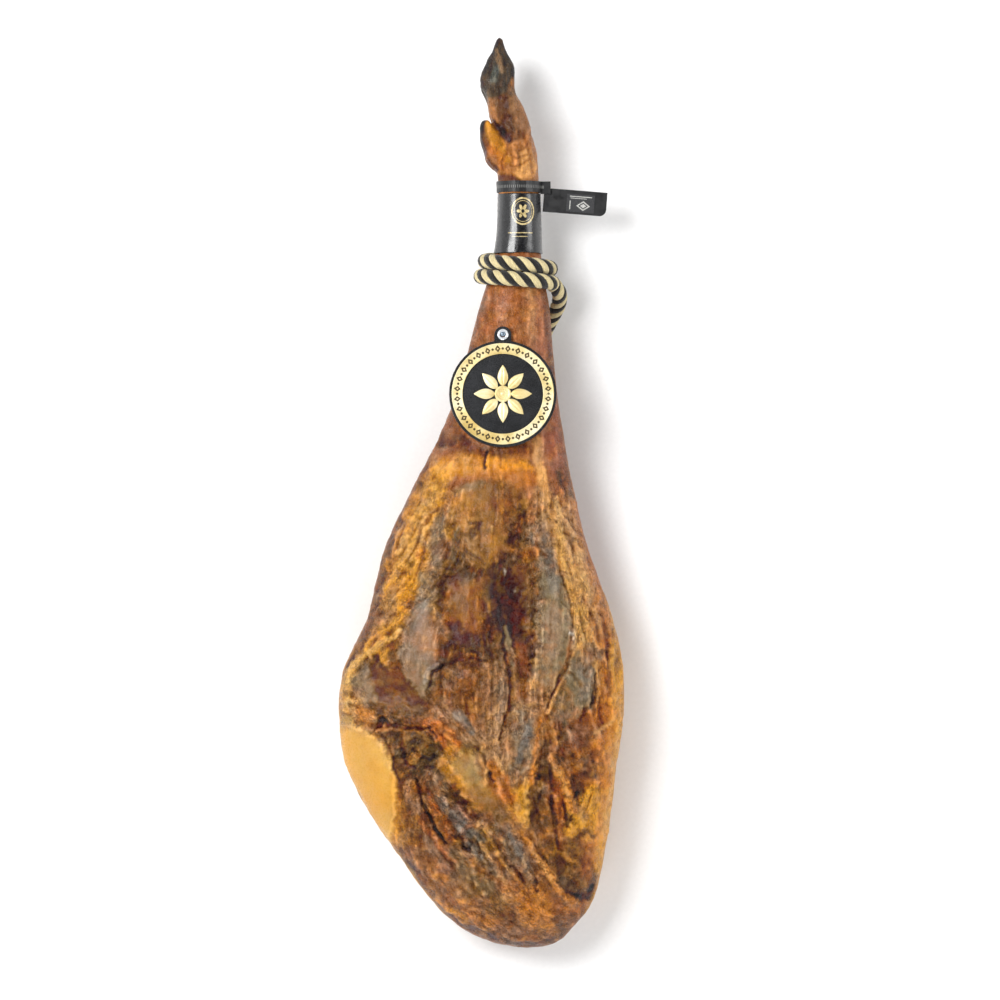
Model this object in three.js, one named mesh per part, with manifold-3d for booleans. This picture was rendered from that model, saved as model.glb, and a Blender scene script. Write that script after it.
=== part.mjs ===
// A whole cured ham on the bone, lying on its outer side with the trimmed inner side up.
// Units are millimetres, +Z is up, +Y runs along the leg from the butt to the claws.
// The shape is laid out with y = 0 at the butt end. The exported group then moves everything
// so that the origin is at the centre of the underside of the ham's bounding box.
import * as THREE from "three";
import { mergeVertices } from "three/addons/utils/BufferGeometryUtils.js";
import Module from "manifold-3d";

const wasm = await Module();
wasm.setup();

// ---------------------------------------------------------------- driving dimensions
// The leg, as stations along its length: [y, left edge x, right edge x, underside z, top z].
// The first and last rows are the points where the surface closes.
const LEG = [
  [0, 27, 27, 42, 42],
  [5, -6, 51, 25, 61],
  [20, -37, 68, 11, 79],
  [44, -62, 85, 2, 94],
  [80, -88, 94, -3, 105],
  [122, -117, 101, -5, 113],
  [166, -139, 106, -6, 118],
  [212, -145, 112.5, -6, 120],
  [250, -141.5, 112, -5, 120],
  [276, -130, 108, -4, 119],
  [302, -118, 101, -3, 117],
  [343, -109, 86.5, 0, 114],
  [368, -101, 78, 3, 111],
  [408, -82, 68.5, 9, 106],
  [451, -60, 60, 17, 100.5],
  [494, -41, 53, 25, 95.5],
  [537, -29, 48.5, 31, 91],
  [579, -18, 45, 36, 86],
  [611, -8, 39, 38.5, 81],
  [640, -2, 37, 39, 78],
  [680, -0.5, 36, 38.5, 77.5],
  [698, -2, 35.5, 37.5, 79.5],
  [713, -5, 34.5, 35.5, 81.5],
  [727, -3, 31, 36.5, 80.5],
  [738, 3, 26, 43, 74],
  [742, 14, 14, 58.5, 58.5],
];
const RING_SPACING = 12; // largest distance between two sections of the leg
const LEG_SIDES = 40;
const BODY_SQUARENESS = 2.1; // superellipse exponent of the body's section
const SHANK_SQUARENESS = 2.05; // and of the shank's, which is nearly round
const BODY_ENDS = 330; // y where the section starts to turn from body to shank
const SHANK_STARTS = 500;
const REST_HEIGHT = 0; // the outer side is pressed flat on the surface it cured on

// Broad muscles and hollows of the inner side: [x, y, radius across, radius along, turn, height].
const RELIEF = [
  [22, 290, 15, 48, 4, -8], // hollow over the bone
  [-86, 226, 27, 22, -10, -8], // pocket beside the hip
  [-20, 230, 25, 34, 8, 5], // round muscle below the hollow
  [-116, 158, 20, 52, 22, 4], // cushion of outer fat
  [52, 88, 9, 48, 32, -5], // furrow towards the point
  [50, 226, 16, 28, 0, -3.5], // shallow pocket on the stifle side
  [-58, 300, 13, 62, -12, -3], // valley inside the fat rim
  [72, 160, 14, 46, -4, 3], // muscle along the stifle edge
  [-10, 70, 46, 30, 20, 3], // point of the butt
];

// Foot: two main toes and two dewclaws on either side of the leg's middle height.
const FOOT_Z = 58.5;
// [y, left x, right x, distance of the toe's middle from FOOT_Z, half thickness, squareness]
const TOE = [
  [702, 12, 24, 9, 2, 2],
  [706, 4, 31, 9, 9, 2],
  [719, 0, 31, 10.5, 12, 2.1],
  [737, -5, 28, 11, 12, 2.1],
  [752, -9, 23.5, 12, 11.4, 2.1],
  [763, -10, 18.5, 12.6, 10.4, 2],
  [769, -13.5, 15, 13, 10.6, 1.7],
  [779, -17.5, 14.2, 13.3, 11.2, 1.6],
  [792, -14, 14, 13.5, 10, 1.6],
  [803, -9.5, 9.5, 13.6, 7.2, 1.6],
  [813, -4.8, 4.6, 13.6, 3.9, 1.7],
  [818.5, -1.8, 1.4, 13.6, 1.4, 2],
  [820, -0.3, -0.3, 13.6, 0, 2],
];
const DEWCLAW = [
  [694, 4, 12, 9, 2, 2],
  [698, -2, 14, 10, 7, 2],
  [706, -9, 12, 12, 9.4, 2],
  [717, -14.5, 8, 14.6, 10, 2],
  [729, -17, 3, 16.2, 8.8, 1.9],
  [738, -17.8, -3, 17, 6.6, 1.9],
  [743.5, -17.2, -8.5, 17.2, 3.8, 2],
  [746.5, -14, -14, 17.2, 0, 2],
];
const LOWER_TOE_SETBACK = 3; // the outer toe is a little shorter than the inner one
const TOE_SIDES = 16;
const DEWCLAW_SIDES = 12;

// Trimmings on the shank
const SKIN_GAP = 0.5; // between the leg and what is wrapped round it
const SLEEVE = { from: 626, to: 679.8, thickness: 0.8 };
const STRAP = { from: 681, to: 691, thickness: 1.5 };
const FLAG = {
  length: 57,
  height: 21.5,
  thickness: 1.4,
  corner: 6,
  tilt: -4.5, // degrees
  standOff: 2.6, // from the strap
  belowStrapTop: 5.5,
};
const LOCK = { along: 9, across: 11, high: 7, outward: 1, low: 0.4 };
const CLEARING = { past: 6, depth: 8, skin: 0.01 }; // keeps the lock and flag out of the strap's bore
const LABEL = { length: 25, height: 16, thickness: 0.3, fromLock: 21, low: 2 };

// Rope
const ROPE_DIAMETER = 13.4;
const ROPE_PITCH = 13.6; // from one turn to the next
const ROPE_FRONT_Y = 616; // middle of the upper turn on the inner side
const ROPE_CLEARANCE = 0.4;
const ROPE_SIDES = 8;
// The free loop of the rope: down behind the shank, along the surface it lies on, and back.
const LOOP_ROUTE = [
  [54.5, 588, 43],
  [53, 580, 33],
  [47.5, 569.5, 23],
  [40.5, 555, 14.5],
  [35, 537, 9],
  [31.5, 518, 7.1],
  [30, 498.5, 7],
  [26.2, 484.2, 7],
  [15.7, 473.8, 7],
  [1.5, 470, 7],
  [-12.7, 473.8, 7],
  [-23.2, 484.2, 7],
  [-27, 498.5, 7],
  [-25.4, 509, 7],
  [-21, 518.5, 7],
  [-14.7, 526.5, 7.1],
  [-8.8, 532.8, 7.4],
  [-4.7, 538.8, 7.9],
  [-1.8, 545, 8.3],
  [-0.3, 551, 8.6],
];
const LOOP_STEPS = 56;
// From the lashing up to the first turn, across the underside of the two turns.
const START_ROUTE = [
  [15.2, 577.2, 8.8],
  [17, 587, 11],
  [18.5, 599, 15],
  [14, 611, 17.4],
];
const START_STEPS = 6;
// The rope's two ends lie side by side and are lashed together with twine.
const LASHING = { at: [7.7, 564, 8.7], length: 22, twine: 1.4 };

// Medallion
const MEDALLION = {
  at: [3, 499],
  radius: 48,
  thickness: 3.4,
  rim: 2.2, // width of the raised rim
  recess: 1.1, // depth of the floor below the rim
  ring: [36, 45.6], // inner and outer radius of the gold ring
  ringThickness: 0.8,
  tabReach: 53.4, // from the centre to the middle of the eyelet
  tabRadius: 7.6,
  neck: 12, // length of the straight piece between disc and tab
};
// A petal's sides bow out most at `bow` of its reach, `spread` of a petal's share of the turn away.
const ROSETTE = { petals: 8, inner: 9, outer: 26, thickness: 1.2, hub: 6, bow: 0.72, spread: 0.42 };
const EYELET = { bore: 2.6, barrel: 3.2, flange: 4.9, flangeThickness: 0.9, rounding: 0.5 };
const TACK = {
  shank: 1.1,
  head: 2.4,
  headHeight: 1.0,
  headEdge: 0.3,
  crown: 0.7, // where the head's dome starts, as a share of its radius
  crownHeight: 0.8,
  length: 13,
  point: 4,
  tip: 2,
  lift: 0.4, // of the head above the tab
  holeGap: 0.35,
};
const FIT_GAP = 0.3; // between two pieces that touch
const LATHE_SIDES = 18;
const THROUGH = 1; // how far a cutting tool reaches past what it cuts
const CURVE = { large: 24, medium: 10, small: 6 }; // segments of a slab's curves
const FLOOR_HEIGHT = MEDALLION.thickness - MEDALLION.recess;
const WELD = 1e-4; // points closer than this are one
const HALVINGS = 40; // of the search for a station

// ---------------------------------------------------------------- helpers
// Value of a table of rows at t (whole numbers are the rows), a Catmull-Rom curve through them.
// Past either end the table is mirrored, with left and right, and low and high, exchanged.
function rowAt(rows, t, mirrored) {
  const i = Math.min(Math.floor(t), rows.length - 2);
  const f = t - i;
  const row = (k) => {
    if (k < 0) return mirrored(rows[-k], rows[0]);
    if (k >= rows.length) {
      return mirrored(rows[2 * rows.length - 2 - k], rows[rows.length - 1]);
    }
    return rows[k];
  };
  const [a, b, c, d] = [row(i - 1), row(i), row(i + 1), row(i + 2)];
  return b.map((_, n) => {
    const slope = c[n] - a[n];
    const bend = 2 * a[n] - 5 * b[n] + 4 * c[n] - d[n];
    const twist = 3 * (b[n] - c[n]) + d[n] - a[n];
    return b[n] + 0.5 * f * (slope + f * (bend + f * twist));
  });
}

// A closed surface through rings of equal length, its ends closed by a point each.
function loft(rings, firstPoint, lastPoint) {
  const sides = rings[0].length;
  const points = [firstPoint, ...rings.flat(), lastPoint];
  const last = points.length - 1;
  const at = (ring, side) => 1 + ring * sides + (side % sides);
  const faces = [];
  for (let s = 0; s < sides; s++) {
    faces.push(0, at(0, s), at(0, s + 1));
    faces.push(last, at(rings.length - 1, s + 1), at(rings.length - 1, s));
    for (let r = 0; r < rings.length - 1; r++) {
      faces.push(at(r, s), at(r + 1, s), at(r + 1, s + 1));
      faces.push(at(r, s), at(r + 1, s + 1), at(r, s + 1));
    }
  }
  return facingOut(new THREE.BufferGeometry().setFromPoints(points).setIndex(faces));
}

// A closed ring-shaped surface through sections that follow each other round a loop.
function loopLoft(sections) {
  const sides = sections[0].length;
  const at = (n, side) => (n % sections.length) * sides + (side % sides);
  const faces = [];
  for (let n = 0; n < sections.length; n++) {
    for (let s = 0; s < sides; s++) {
      faces.push(at(n, s), at(n + 1, s), at(n + 1, s + 1));
      faces.push(at(n, s), at(n + 1, s + 1), at(n, s + 1));
    }
  }
  return facingOut(new THREE.BufferGeometry().setFromPoints(sections.flat()).setIndex(faces));
}

// Turns every face round if the surface encloses a negative volume.
function facingOut(geometry) {
  const p = geometry.getAttribute("position");
  const index = geometry.index.array;
  const [a, b, c] = [new THREE.Vector3(), new THREE.Vector3(), new THREE.Vector3()];
  let volume = 0;
  for (let i = 0; i < index.length; i += 3) {
    a.fromBufferAttribute(p, index[i]);
    b.fromBufferAttribute(p, index[i + 1]);
    c.fromBufferAttribute(p, index[i + 2]);
    volume += a.dot(b.cross(c));
  }
  if (volume < 0) {
    for (let i = 0; i < index.length; i += 3) {
      [index[i + 1], index[i + 2]] = [index[i + 2], index[i + 1]];
    }
  }
  return geometry;
}

function stripped(geometry) {
  geometry.deleteAttribute("normal");
  geometry.deleteAttribute("uv");
  return geometry;
}

function solidOf(geometry) {
  const merged = mergeVertices(stripped(geometry.clone()), WELD);
  return new wasm.Manifold(
    new wasm.Mesh({
      numProp: 3,
      vertProperties: merged.getAttribute("position").array,
      triVerts: new Uint32Array(merged.index.array),
    })
  );
}

function geometryOf(solid) {
  const mesh = solid.getMesh();
  return new THREE.BufferGeometry()
    .setAttribute("position", new THREE.BufferAttribute(mesh.vertProperties, 3))
    .setIndex(new THREE.BufferAttribute(mesh.triVerts, 1));
}

const join = (...geometries) =>
  geometryOf(geometries.map(solidOf).reduce((whole, piece) => whole.add(piece)));
const cut = (geometry, ...tools) =>
  geometryOf(tools.map(solidOf).reduce((left, tool) => left.subtract(tool), solidOf(geometry)));

function named(name, geometry, material) {
  const mesh = new THREE.Mesh(geometry, material);
  mesh.name = name;
  return mesh;
}

// A disc or ring with a round or shaped outline, flat on z = 0, `high` millimetres tall.
function slab(shape, high, curveSegments = CURVE.large) {
  return new THREE.ExtrudeGeometry(shape, { depth: high, bevelEnabled: false, curveSegments });
}

function circle(radius) {
  return new THREE.Shape().absarc(0, 0, radius, 0, 2 * Math.PI);
}

// ---------------------------------------------------------------- the leg
const mirrorStation = ([y, left, right, low, high], end) => [
  2 * end[0] - y, right, left, high, low,
];
// A closing row stands for a surface that runs on past its apex, so y turns back there.
const mirrorEnd = (row, end) => {
  const m = mirrorStation(row, end);
  return [row[0], ...m.slice(1)];
};

function section(t) {
  const [y, left, right, low, high] = rowAt(LEG, t, mirrorEnd);
  return { y, middle: (left + right) / 2, half: (right - left) / 2, low, high };
}

// The station at a given distance from the butt.
function sectionAt(y) {
  let [lo, hi] = [0, LEG.length - 1];
  for (let n = 0; n < HALVINGS; n++) {
    const t = (lo + hi) / 2;
    if (section(t).y < y) lo = t;
    else hi = t;
  }
  return section(lo);
}

function squareness(y) {
  return THREE.MathUtils.lerp(
    BODY_SQUARENESS,
    SHANK_SQUARENESS,
    THREE.MathUtils.smoothstep(y, BODY_ENDS, SHANK_STARTS)
  );
}

const bend = (value, power) => Math.sign(value) * Math.abs(value) ** power;

// A point of a leg section, `grow` millimetres outside it. Angle 0 is +x, a quarter turn is +z.
function legPoint(s, angle, grow = 0) {
  const power = 2 / squareness(s.y);
  const z = (s.low + s.high) / 2;
  return new THREE.Vector3(
    s.middle + (s.half + grow) * bend(Math.cos(angle), power),
    s.y,
    z + ((s.high - s.low) / 2 + grow) * bend(Math.sin(angle), power)
  );
}

// Height added by the muscles and hollows of the inner side.
function relief(x, y) {
  let height = 0;
  for (const [cx, cy, rx, ry, turn, peak] of RELIEF) {
    const a = THREE.MathUtils.degToRad(turn);
    const across = (x - cx) * Math.cos(a) + (y - cy) * Math.sin(a);
    const along = (y - cy) * Math.cos(a) - (x - cx) * Math.sin(a);
    height += peak * Math.exp(-((across / rx) ** 2) - (along / ry) ** 2);
  }
  return height;
}

function legGeometry() {
  const rings = [];
  for (let i = 0; i < LEG.length - 1; i++) {
    const steps = Math.max(2, Math.ceil((LEG[i + 1][0] - LEG[i][0]) / RING_SPACING));
    for (let n = i === 0 ? 1 : 0; n < steps; n++) {
      const s = section(i + n / steps);
      const ring = [];
      for (let k = 0; k < LEG_SIDES; k++) {
        const angle = (2 * Math.PI * k) / LEG_SIDES;
        const p = legPoint(s, angle);
        const upward = Math.max(0, Math.sin(angle));
        p.z += relief(p.x, p.y) * Math.sqrt(upward);
        p.z = Math.max(p.z, REST_HEIGHT);
        ring.push(p);
      }
      rings.push(ring);
    }
  }
  const tip = ([y, x, , z]) => new THREE.Vector3(x, y, z);
  return loft(rings, tip(LEG[0]), tip(LEG[LEG.length - 1]));
}

// A toe or dewclaw from its table. side is 1 for the inner one, above, and -1 for the outer one.
function digitGeometry(rows, sides, side, setback) {
  const keep = (row, end) => [row[0], row[2], row[1], row[3], 2 * end[4] - row[4], row[5]];
  const rings = [];
  const steps = 2;
  const point = (row, angle) =>
    new THREE.Vector3(
      (row[1] + row[2]) / 2 + ((row[2] - row[1]) / 2) * bend(Math.cos(angle), 2 / row[5]),
      row[0] - setback * THREE.MathUtils.smoothstep(row[0], rows[1][0], rows[4][0]),
      FOOT_Z + side * (row[3] + row[4] * bend(Math.sin(angle), 2 / row[5]))
    );
  for (let n = 1; n <= (rows.length - 2) * steps; n++) {
    const row = rowAt(rows, n / steps + (steps - 1) / steps / 2, keep);
    const ring = [];
    for (let k = 0; k < sides; k++) ring.push(point(row, (2 * Math.PI * k) / sides));
    rings.push(ring);
  }
  const middle = (row) => point([row[0], row[1], row[2], row[3], 0, 2], Math.PI / 2);
  return loft(rings, middle(rows[0]), middle(rows[rows.length - 1]));
}

function hamGeometry(tackHole) {
  const digits = [1, -1].flatMap((side) => {
    const setback = side > 0 ? 0 : LOWER_TOE_SETBACK;
    return [
      digitGeometry(TOE, TOE_SIDES, side, setback),
      digitGeometry(DEWCLAW, DEWCLAW_SIDES, side, setback),
    ];
  });
  return cut(join(legGeometry(), ...digits), tackHole);
}

// ---------------------------------------------------------------- wrapped round the shank
// A band that follows the leg from one y to another, `gap` outside it.
function bandGeometry({ from, to, thickness }, gap, rows = 4) {
  const sections = [];
  for (let k = 0; k < LEG_SIDES; k++) {
    const angle = (2 * Math.PI * k) / LEG_SIDES;
    const inside = [];
    const outside = [];
    for (let n = 0; n <= rows; n++) {
      const s = sectionAt(THREE.MathUtils.lerp(from, to, n / rows));
      inside.push(legPoint(s, angle, gap));
      outside.unshift(legPoint(s, angle, gap + thickness));
    }
    sections.push([...inside, ...outside]);
  }
  return loopLoft(sections);
}

function flagShape() {
  const { length, height, corner } = FLAG;
  return new THREE.Shape()
    .moveTo(0, 0)
    .lineTo(0, -height)
    .lineTo(length - corner, -height)
    .absarc(length - corner, -height + corner, corner, -Math.PI / 2, 0)
    .lineTo(length, 0)
    .closePath();
}

// Where the flag starts: beside the strap, at the leg's middle height.
function flagFrame() {
  const s = sectionAt((STRAP.from + STRAP.to) / 2);
  const frame = new THREE.Group();
  frame.position.set(
    s.middle + s.half + SKIN_GAP + STRAP.thickness + FLAG.standOff,
    STRAP.to - FLAG.belowStrapTop,
    (s.low + s.high) / 2
  );
  frame.rotation.z = THREE.MathUtils.degToRad(FLAG.tilt);
  frame.updateMatrix();
  return frame;
}

function sealGeometry(frame) {
  const flag = slab(flagShape(), FLAG.thickness, CURVE.small);
  flag.translate(0, 0, -FLAG.thickness / 2).applyMatrix4(frame.matrix);
  const lock = new THREE.BoxGeometry(LOCK.along, LOCK.across, LOCK.high);
  lock.translate(
    frame.position.x + LOCK.outward,
    (STRAP.from + STRAP.to) / 2 - LOCK.low,
    frame.position.z
  );
  const wrapped = bandGeometry(STRAP, SKIN_GAP, 1);
  const { past, depth, skin } = CLEARING;
  const clearOfLeg = bandGeometry(
    { from: STRAP.from - past, to: STRAP.to + past, thickness: depth },
    SKIN_GAP - depth + skin
  );
  return join(wrapped, cut(join(lock, flag), clearOfLeg));
}

function labelGeometry(frame) {
  const { length, height, thickness, fromLock, low } = LABEL;
  const sticker = new THREE.BoxGeometry(length, height, thickness);
  sticker.translate(
    fromLock + length / 2,
    -FLAG.height + low + height / 2,
    FLAG.thickness / 2 + FIT_GAP + thickness / 2
  );
  return sticker.applyMatrix4(frame.matrix);
}

// ---------------------------------------------------------------- the rope
// Middle of the rope at a turn round the leg. Angle 0 is the inner side, a quarter turn is +x.
function ropePoint(angle, y) {
  const s = sectionAt(y);
  return legPoint(s, Math.PI / 2 - angle, ROPE_DIAMETER / 2 + ROPE_CLEARANCE);
}

// Two turns of rope as one ring: at every angle, a section that holds both turns.
function ropeTurnsGeometry() {
  const sections = [];
  const turnSections = 36;
  const arc = 5;
  for (let n = 0; n < turnSections; n++) {
    const angle = -Math.PI + (2 * Math.PI * n) / turnSections;
    const y = ROPE_FRONT_Y - (ROPE_PITCH * angle) / (2 * Math.PI);
    const upper = ropePoint(angle, y);
    const lower = ropePoint(angle, y - ROPE_PITCH);
    const outward = upper.clone().sub(ropePoint(angle + Math.PI, y)).setY(0).normalize();
    const around = (centre, from) => {
      const points = [];
      for (let k = 0; k <= arc; k++) {
        const a = from + (Math.PI * k) / arc;
        points.push(
          centre.clone()
            .addScaledVector(outward, (ROPE_DIAMETER / 2) * Math.cos(a))
            .add(new THREE.Vector3(0, (ROPE_DIAMETER / 2) * Math.sin(a), 0))
        );
      }
      return points;
    };
    sections.push([...around(upper, 0), ...around(lower, Math.PI)]);
  }
  return loopLoft(sections);
}

function ropeGeometry(points, steps) {
  const route = new THREE.CatmullRomCurve3(points.map((p) => new THREE.Vector3(...p)));
  return new THREE.ExtrudeGeometry(
    new THREE.Shape(circle(ROPE_DIAMETER / 2).getSpacedPoints(ROPE_SIDES).slice(0, ROPE_SIDES)),
    { steps, extrudePath: route, bevelEnabled: false }
  );
}

function lashingGeometry() {
  const radius = ROPE_DIAMETER / 2 + LASHING.twine;
  const apart = ROPE_DIAMETER / 2 + FIT_GAP;
  const outline = new THREE.Shape()
    .absarc(apart, 0, radius, -Math.PI / 2, Math.PI / 2)
    .absarc(-apart, 0, radius, Math.PI / 2, 1.5 * Math.PI);
  const lashing = slab(outline, LASHING.length, CURVE.small);
  lashing.translate(0, 0, -LASHING.length / 2).rotateX(Math.PI / 2);
  return lashing.translate(...LASHING.at);
}

// ---------------------------------------------------------------- the medallion
function medallionDisc() {
  const { radius, thickness, rim, recess, tabReach, tabRadius, neck } = MEDALLION;
  const plate = slab(circle(radius), thickness);
  const tab = slab(circle(tabRadius), FLOOR_HEIGHT, CURVE.medium).translate(0, tabReach, 0);
  const bridge = new THREE.BoxGeometry(2 * tabRadius, neck, FLOOR_HEIGHT);
  bridge.translate(0, tabReach - neck / 2, FLOOR_HEIGHT / 2);
  const floor = slab(circle(radius - rim), recess + THROUGH).translate(0, 0, FLOOR_HEIGHT);
  const hole = slab(circle(EYELET.barrel + FIT_GAP), thickness + 2 * THROUGH, CURVE.medium);
  hole.translate(0, tabReach, -THROUGH);
  return cut(join(plate, tab, bridge), floor, hole);
}

function medallionRing() {
  const outline = circle(MEDALLION.ring[1]);
  outline.holes.push(circle(MEDALLION.ring[0]));
  return slab(outline, MEDALLION.ringThickness).translate(0, 0, FLOOR_HEIGHT + FIT_GAP);
}

function medallionRosette() {
  const { petals, inner, outer, thickness, hub, bow, spread } = ROSETTE;
  const outline = new THREE.Shape();
  const at = (radius, turn) => {
    const a = Math.PI / 2 + (turn * 2 * Math.PI) / petals;
    return [radius * Math.cos(a), radius * Math.sin(a)];
  };
  outline.moveTo(...at(inner, -0.5));
  for (let k = 0; k < petals; k++) {
    outline.quadraticCurveTo(...at(outer * bow, k - spread), ...at(outer, k));
    outline.quadraticCurveTo(...at(outer * bow, k + spread), ...at(inner, k + 0.5));
  }
  outline.holes.push(circle(hub));
  return slab(outline, thickness, CURVE.small).translate(0, 0, FLOOR_HEIGHT + FIT_GAP);
}

// Half of the eyelet's section, turned about the tab's hole.
function eyeletGeometry() {
  const { bore, barrel, flange, flangeThickness, rounding } = EYELET;
  const under = FLOOR_HEIGHT + FIT_GAP;
  const top = under + flangeThickness;
  return turned([
    [bore, 0],
    [barrel, 0],
    [barrel, under],
    [flange, under],
    [flange - rounding, top],
    [bore + rounding, top],
    [bore, top - rounding],
    [bore, 0],
  ]);
}

function tackGeometry() {
  const { shank, head, headHeight, headEdge, crown, crownHeight, length, point, tip, lift } = TACK;
  const under = FLOOR_HEIGHT + lift;
  return turned([
    [0, under - length],
    [shank * crown, under - length + tip],
    [shank, under - length + point],
    [shank, under],
    [head, under],
    [head, under + headEdge],
    [head * crown, under + crownHeight],
    [0, under + headHeight],
  ]);
}

// The room that the tack takes up in the leg, from its point to above the skin.
function tackHoleGeometry(frame) {
  const { shank, length, lift, holeGap } = TACK;
  const radius = shank + holeGap;
  const depth = length + holeGap;
  const hole = new THREE.CylinderGeometry(radius, radius, depth, CURVE.medium);
  hole.rotateX(Math.PI / 2).translate(0, MEDALLION.tabReach, FLOOR_HEIGHT + lift - depth / 2);
  return hole.applyMatrix4(frame.matrix);
}

// A half section of [radius, height] points, turned about the middle of the tab's hole.
function turned(profile) {
  const points = profile.map(([radius, height]) => new THREE.Vector2(radius, height));
  return upright(new THREE.LatheGeometry(points, LATHE_SIDES)).translate(0, MEDALLION.tabReach, 0);
}

// LatheGeometry turns about y; this stands it on z.
function upright(geometry) {
  return facingOut(mergeVertices(stripped(geometry.rotateX(Math.PI / 2)), WELD));
}

// The medallion lies on the crown of the leg and slopes with it.
function medallionFrame() {
  const [x, y] = MEDALLION.at;
  const reach = MEDALLION.radius;
  const above = sectionAt(y + reach).high;
  const below = sectionAt(y - reach).high;
  const group = new THREE.Group();
  const highest = Math.max(sectionAt(y).high, (above + below) / 2);
  group.position.set(x, y, highest + SKIN_GAP + FIT_GAP);
  group.rotation.x = Math.atan2(above - below, 2 * reach);
  group.updateMatrix();
  return group;
}

// ---------------------------------------------------------------- materials
const finish = (color, roughness, metalness = 0) =>
  new THREE.MeshStandardMaterial({ color, roughness, metalness });
const MEAT = finish(0x8f5f35, 0.55);
const GLOSS_BLACK = finish(0x17171a, 0.25);
const SEAL_BLACK = finish(0x141416, 0.45);
const LABEL_GREY = finish(0x6d6d68, 0.5);
const ROPE = finish(0xc9b27a, 0.8);
const TWINE = finish(0x2a2522, 0.8);
const GOLD = finish(0xcdb06a, 0.35, 0.8);
const STEEL = finish(0xc9cdd2, 0.25, 1);

// ---------------------------------------------------------------- assembly
const medallion = medallionFrame();
const ham = named("ham", hamGeometry(tackHoleGeometry(medallion)), MEAT);
const flag = flagFrame();
medallion.add(
  named("medallion_disc", medallionDisc(), GLOSS_BLACK),
  named("medallion_ring", medallionRing(), GOLD),
  named("medallion_rosette", medallionRosette(), GOLD),
  named("eyelet", eyeletGeometry(), STEEL),
  named("tack", tackGeometry(), STEEL)
);

const group = new THREE.Group();
group.add(
  ham,
  named("shank_sleeve", bandGeometry(SLEEVE, SKIN_GAP), GLOSS_BLACK),
  named("seal_tag", sealGeometry(flag), SEAL_BLACK),
  named("flag_label", labelGeometry(flag), LABEL_GREY),
  named("rope_turns", ropeTurnsGeometry(), ROPE),
  named("rope_start", ropeGeometry(START_ROUTE, START_STEPS), ROPE),
  named("rope_loop", ropeGeometry(LOOP_ROUTE, LOOP_STEPS), ROPE),
  named("rope_lashing", lashingGeometry(), TWINE),
  medallion
);

// The origin goes to the middle of the underside of the ham's box.
const box = new THREE.Box3().setFromObject(ham);
group.position.set(-(box.min.x + box.max.x) / 2, -(box.min.y + box.max.y) / 2, -box.min.z);

export default group;
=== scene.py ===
import math

import bmesh
import bpy
import numpy as np
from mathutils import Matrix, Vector
from mathutils.bvhtree import BVHTree


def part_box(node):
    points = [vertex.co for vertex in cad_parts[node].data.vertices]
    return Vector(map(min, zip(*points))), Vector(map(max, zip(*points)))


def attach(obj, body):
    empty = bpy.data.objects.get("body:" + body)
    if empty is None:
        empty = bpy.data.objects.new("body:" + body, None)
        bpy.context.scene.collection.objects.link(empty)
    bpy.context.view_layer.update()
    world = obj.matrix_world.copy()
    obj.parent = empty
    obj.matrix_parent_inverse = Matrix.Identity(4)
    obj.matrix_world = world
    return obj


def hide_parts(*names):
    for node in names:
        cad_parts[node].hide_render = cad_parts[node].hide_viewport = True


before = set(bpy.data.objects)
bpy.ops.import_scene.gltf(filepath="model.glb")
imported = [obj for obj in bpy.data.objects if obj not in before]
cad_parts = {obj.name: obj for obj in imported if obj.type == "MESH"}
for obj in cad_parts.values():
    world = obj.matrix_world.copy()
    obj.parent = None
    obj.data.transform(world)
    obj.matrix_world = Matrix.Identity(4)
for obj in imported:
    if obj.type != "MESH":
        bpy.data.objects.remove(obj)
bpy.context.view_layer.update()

rng = np.random.default_rng(7)
MM = 0.001

# ---------------------------------------------------------------- colours
def rgb(code):
    """sRGB hex to linear."""
    c = np.array([int(code[i:i + 2], 16) for i in (0, 2, 4)]) / 255
    return np.where(c <= 0.04045, c / 12.92, ((c + 0.055) / 1.055) ** 2.4)


SKIN, SKIN_ROSE, PURPLE, PURPLE_RED = "a86a45", "b5765c", "6c3d2b", "94543f"
PURPLE_DARK, RIND, RED_BROWN = "573b2c", "5f3319", "8f4d26"
FAT_GOLD, FAT_TAN, FAT_ORANGE, FAT_OCHRE = "e29426", "f4b66e", "de8e40", "e8a444"
# FAT_HIGHLIGHT is a painted highlight: small pale dabs on the ridges of the fat.
FAT_PALE, FAT_HIGHLIGHT, FAT_YELLOW, FAT_AMBER = "f2ba66", "f6c684", "f0aa40", "cf8c34"
AMBER, AMBER_BRIGHT, AMBER_DARK, TRANSLUCENT = "a4632a", "cc7a2e", "744818", "b08c52"
OLIVE, OLIVE_DARK, OLIVE_LIGHT = "7f5832", "5f4128", "8f663c"
# GREY_BLUE_SHEEN is a grey-blue tone that is partly the meat's own film and partly a painted sheen with
# painted highlights on its lumps and ridges.
GREY, GREY_OLIVE, GREY_BLUE_SHEEN, LILAC = "94806a", "8a7a60", "85817b", "a0846e"
PINK, STRIP_TAN, TENDON, GLINT = "a97d5d", "b28862", "d0a878", "c9bfb6"
MEAT, MEAT_DARK, MEAT_LIGHT, MEAT_RED = "7a4a28", "5a3518", "9a744c", "b8652f"
LOBE, LOBE_ORANGE, LOBE_BROWN = "744729", "b1723a", "9c6a48"
HOLLOW, HOLLOW_BLACK, POCKET, FOLDED, PAD = "553822", "352317", "6a4522", "60472f", "d6a75c"
DARK, BLACK = "3c2415", "1d120b"
PASTERN, FOOT_TAN = "7d5740", "b5794a"
# SHADE, PAD_SHADE, PAINTED_LIGHT and PAINTED_WARM_LIGHT are painted shade and painted light for the washes
# below.
SHADE, PAINTED_LIGHT, PAINTED_WARM_LIGHT, PAD_SHADE = "3a1f08", "f8c490", "f4a24a", "b88242"
HORN, HORN_DARK, HORN_TAN, HORN_TEAL = "544a41", "2b2622", "a58462", "5f6c67"

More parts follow.
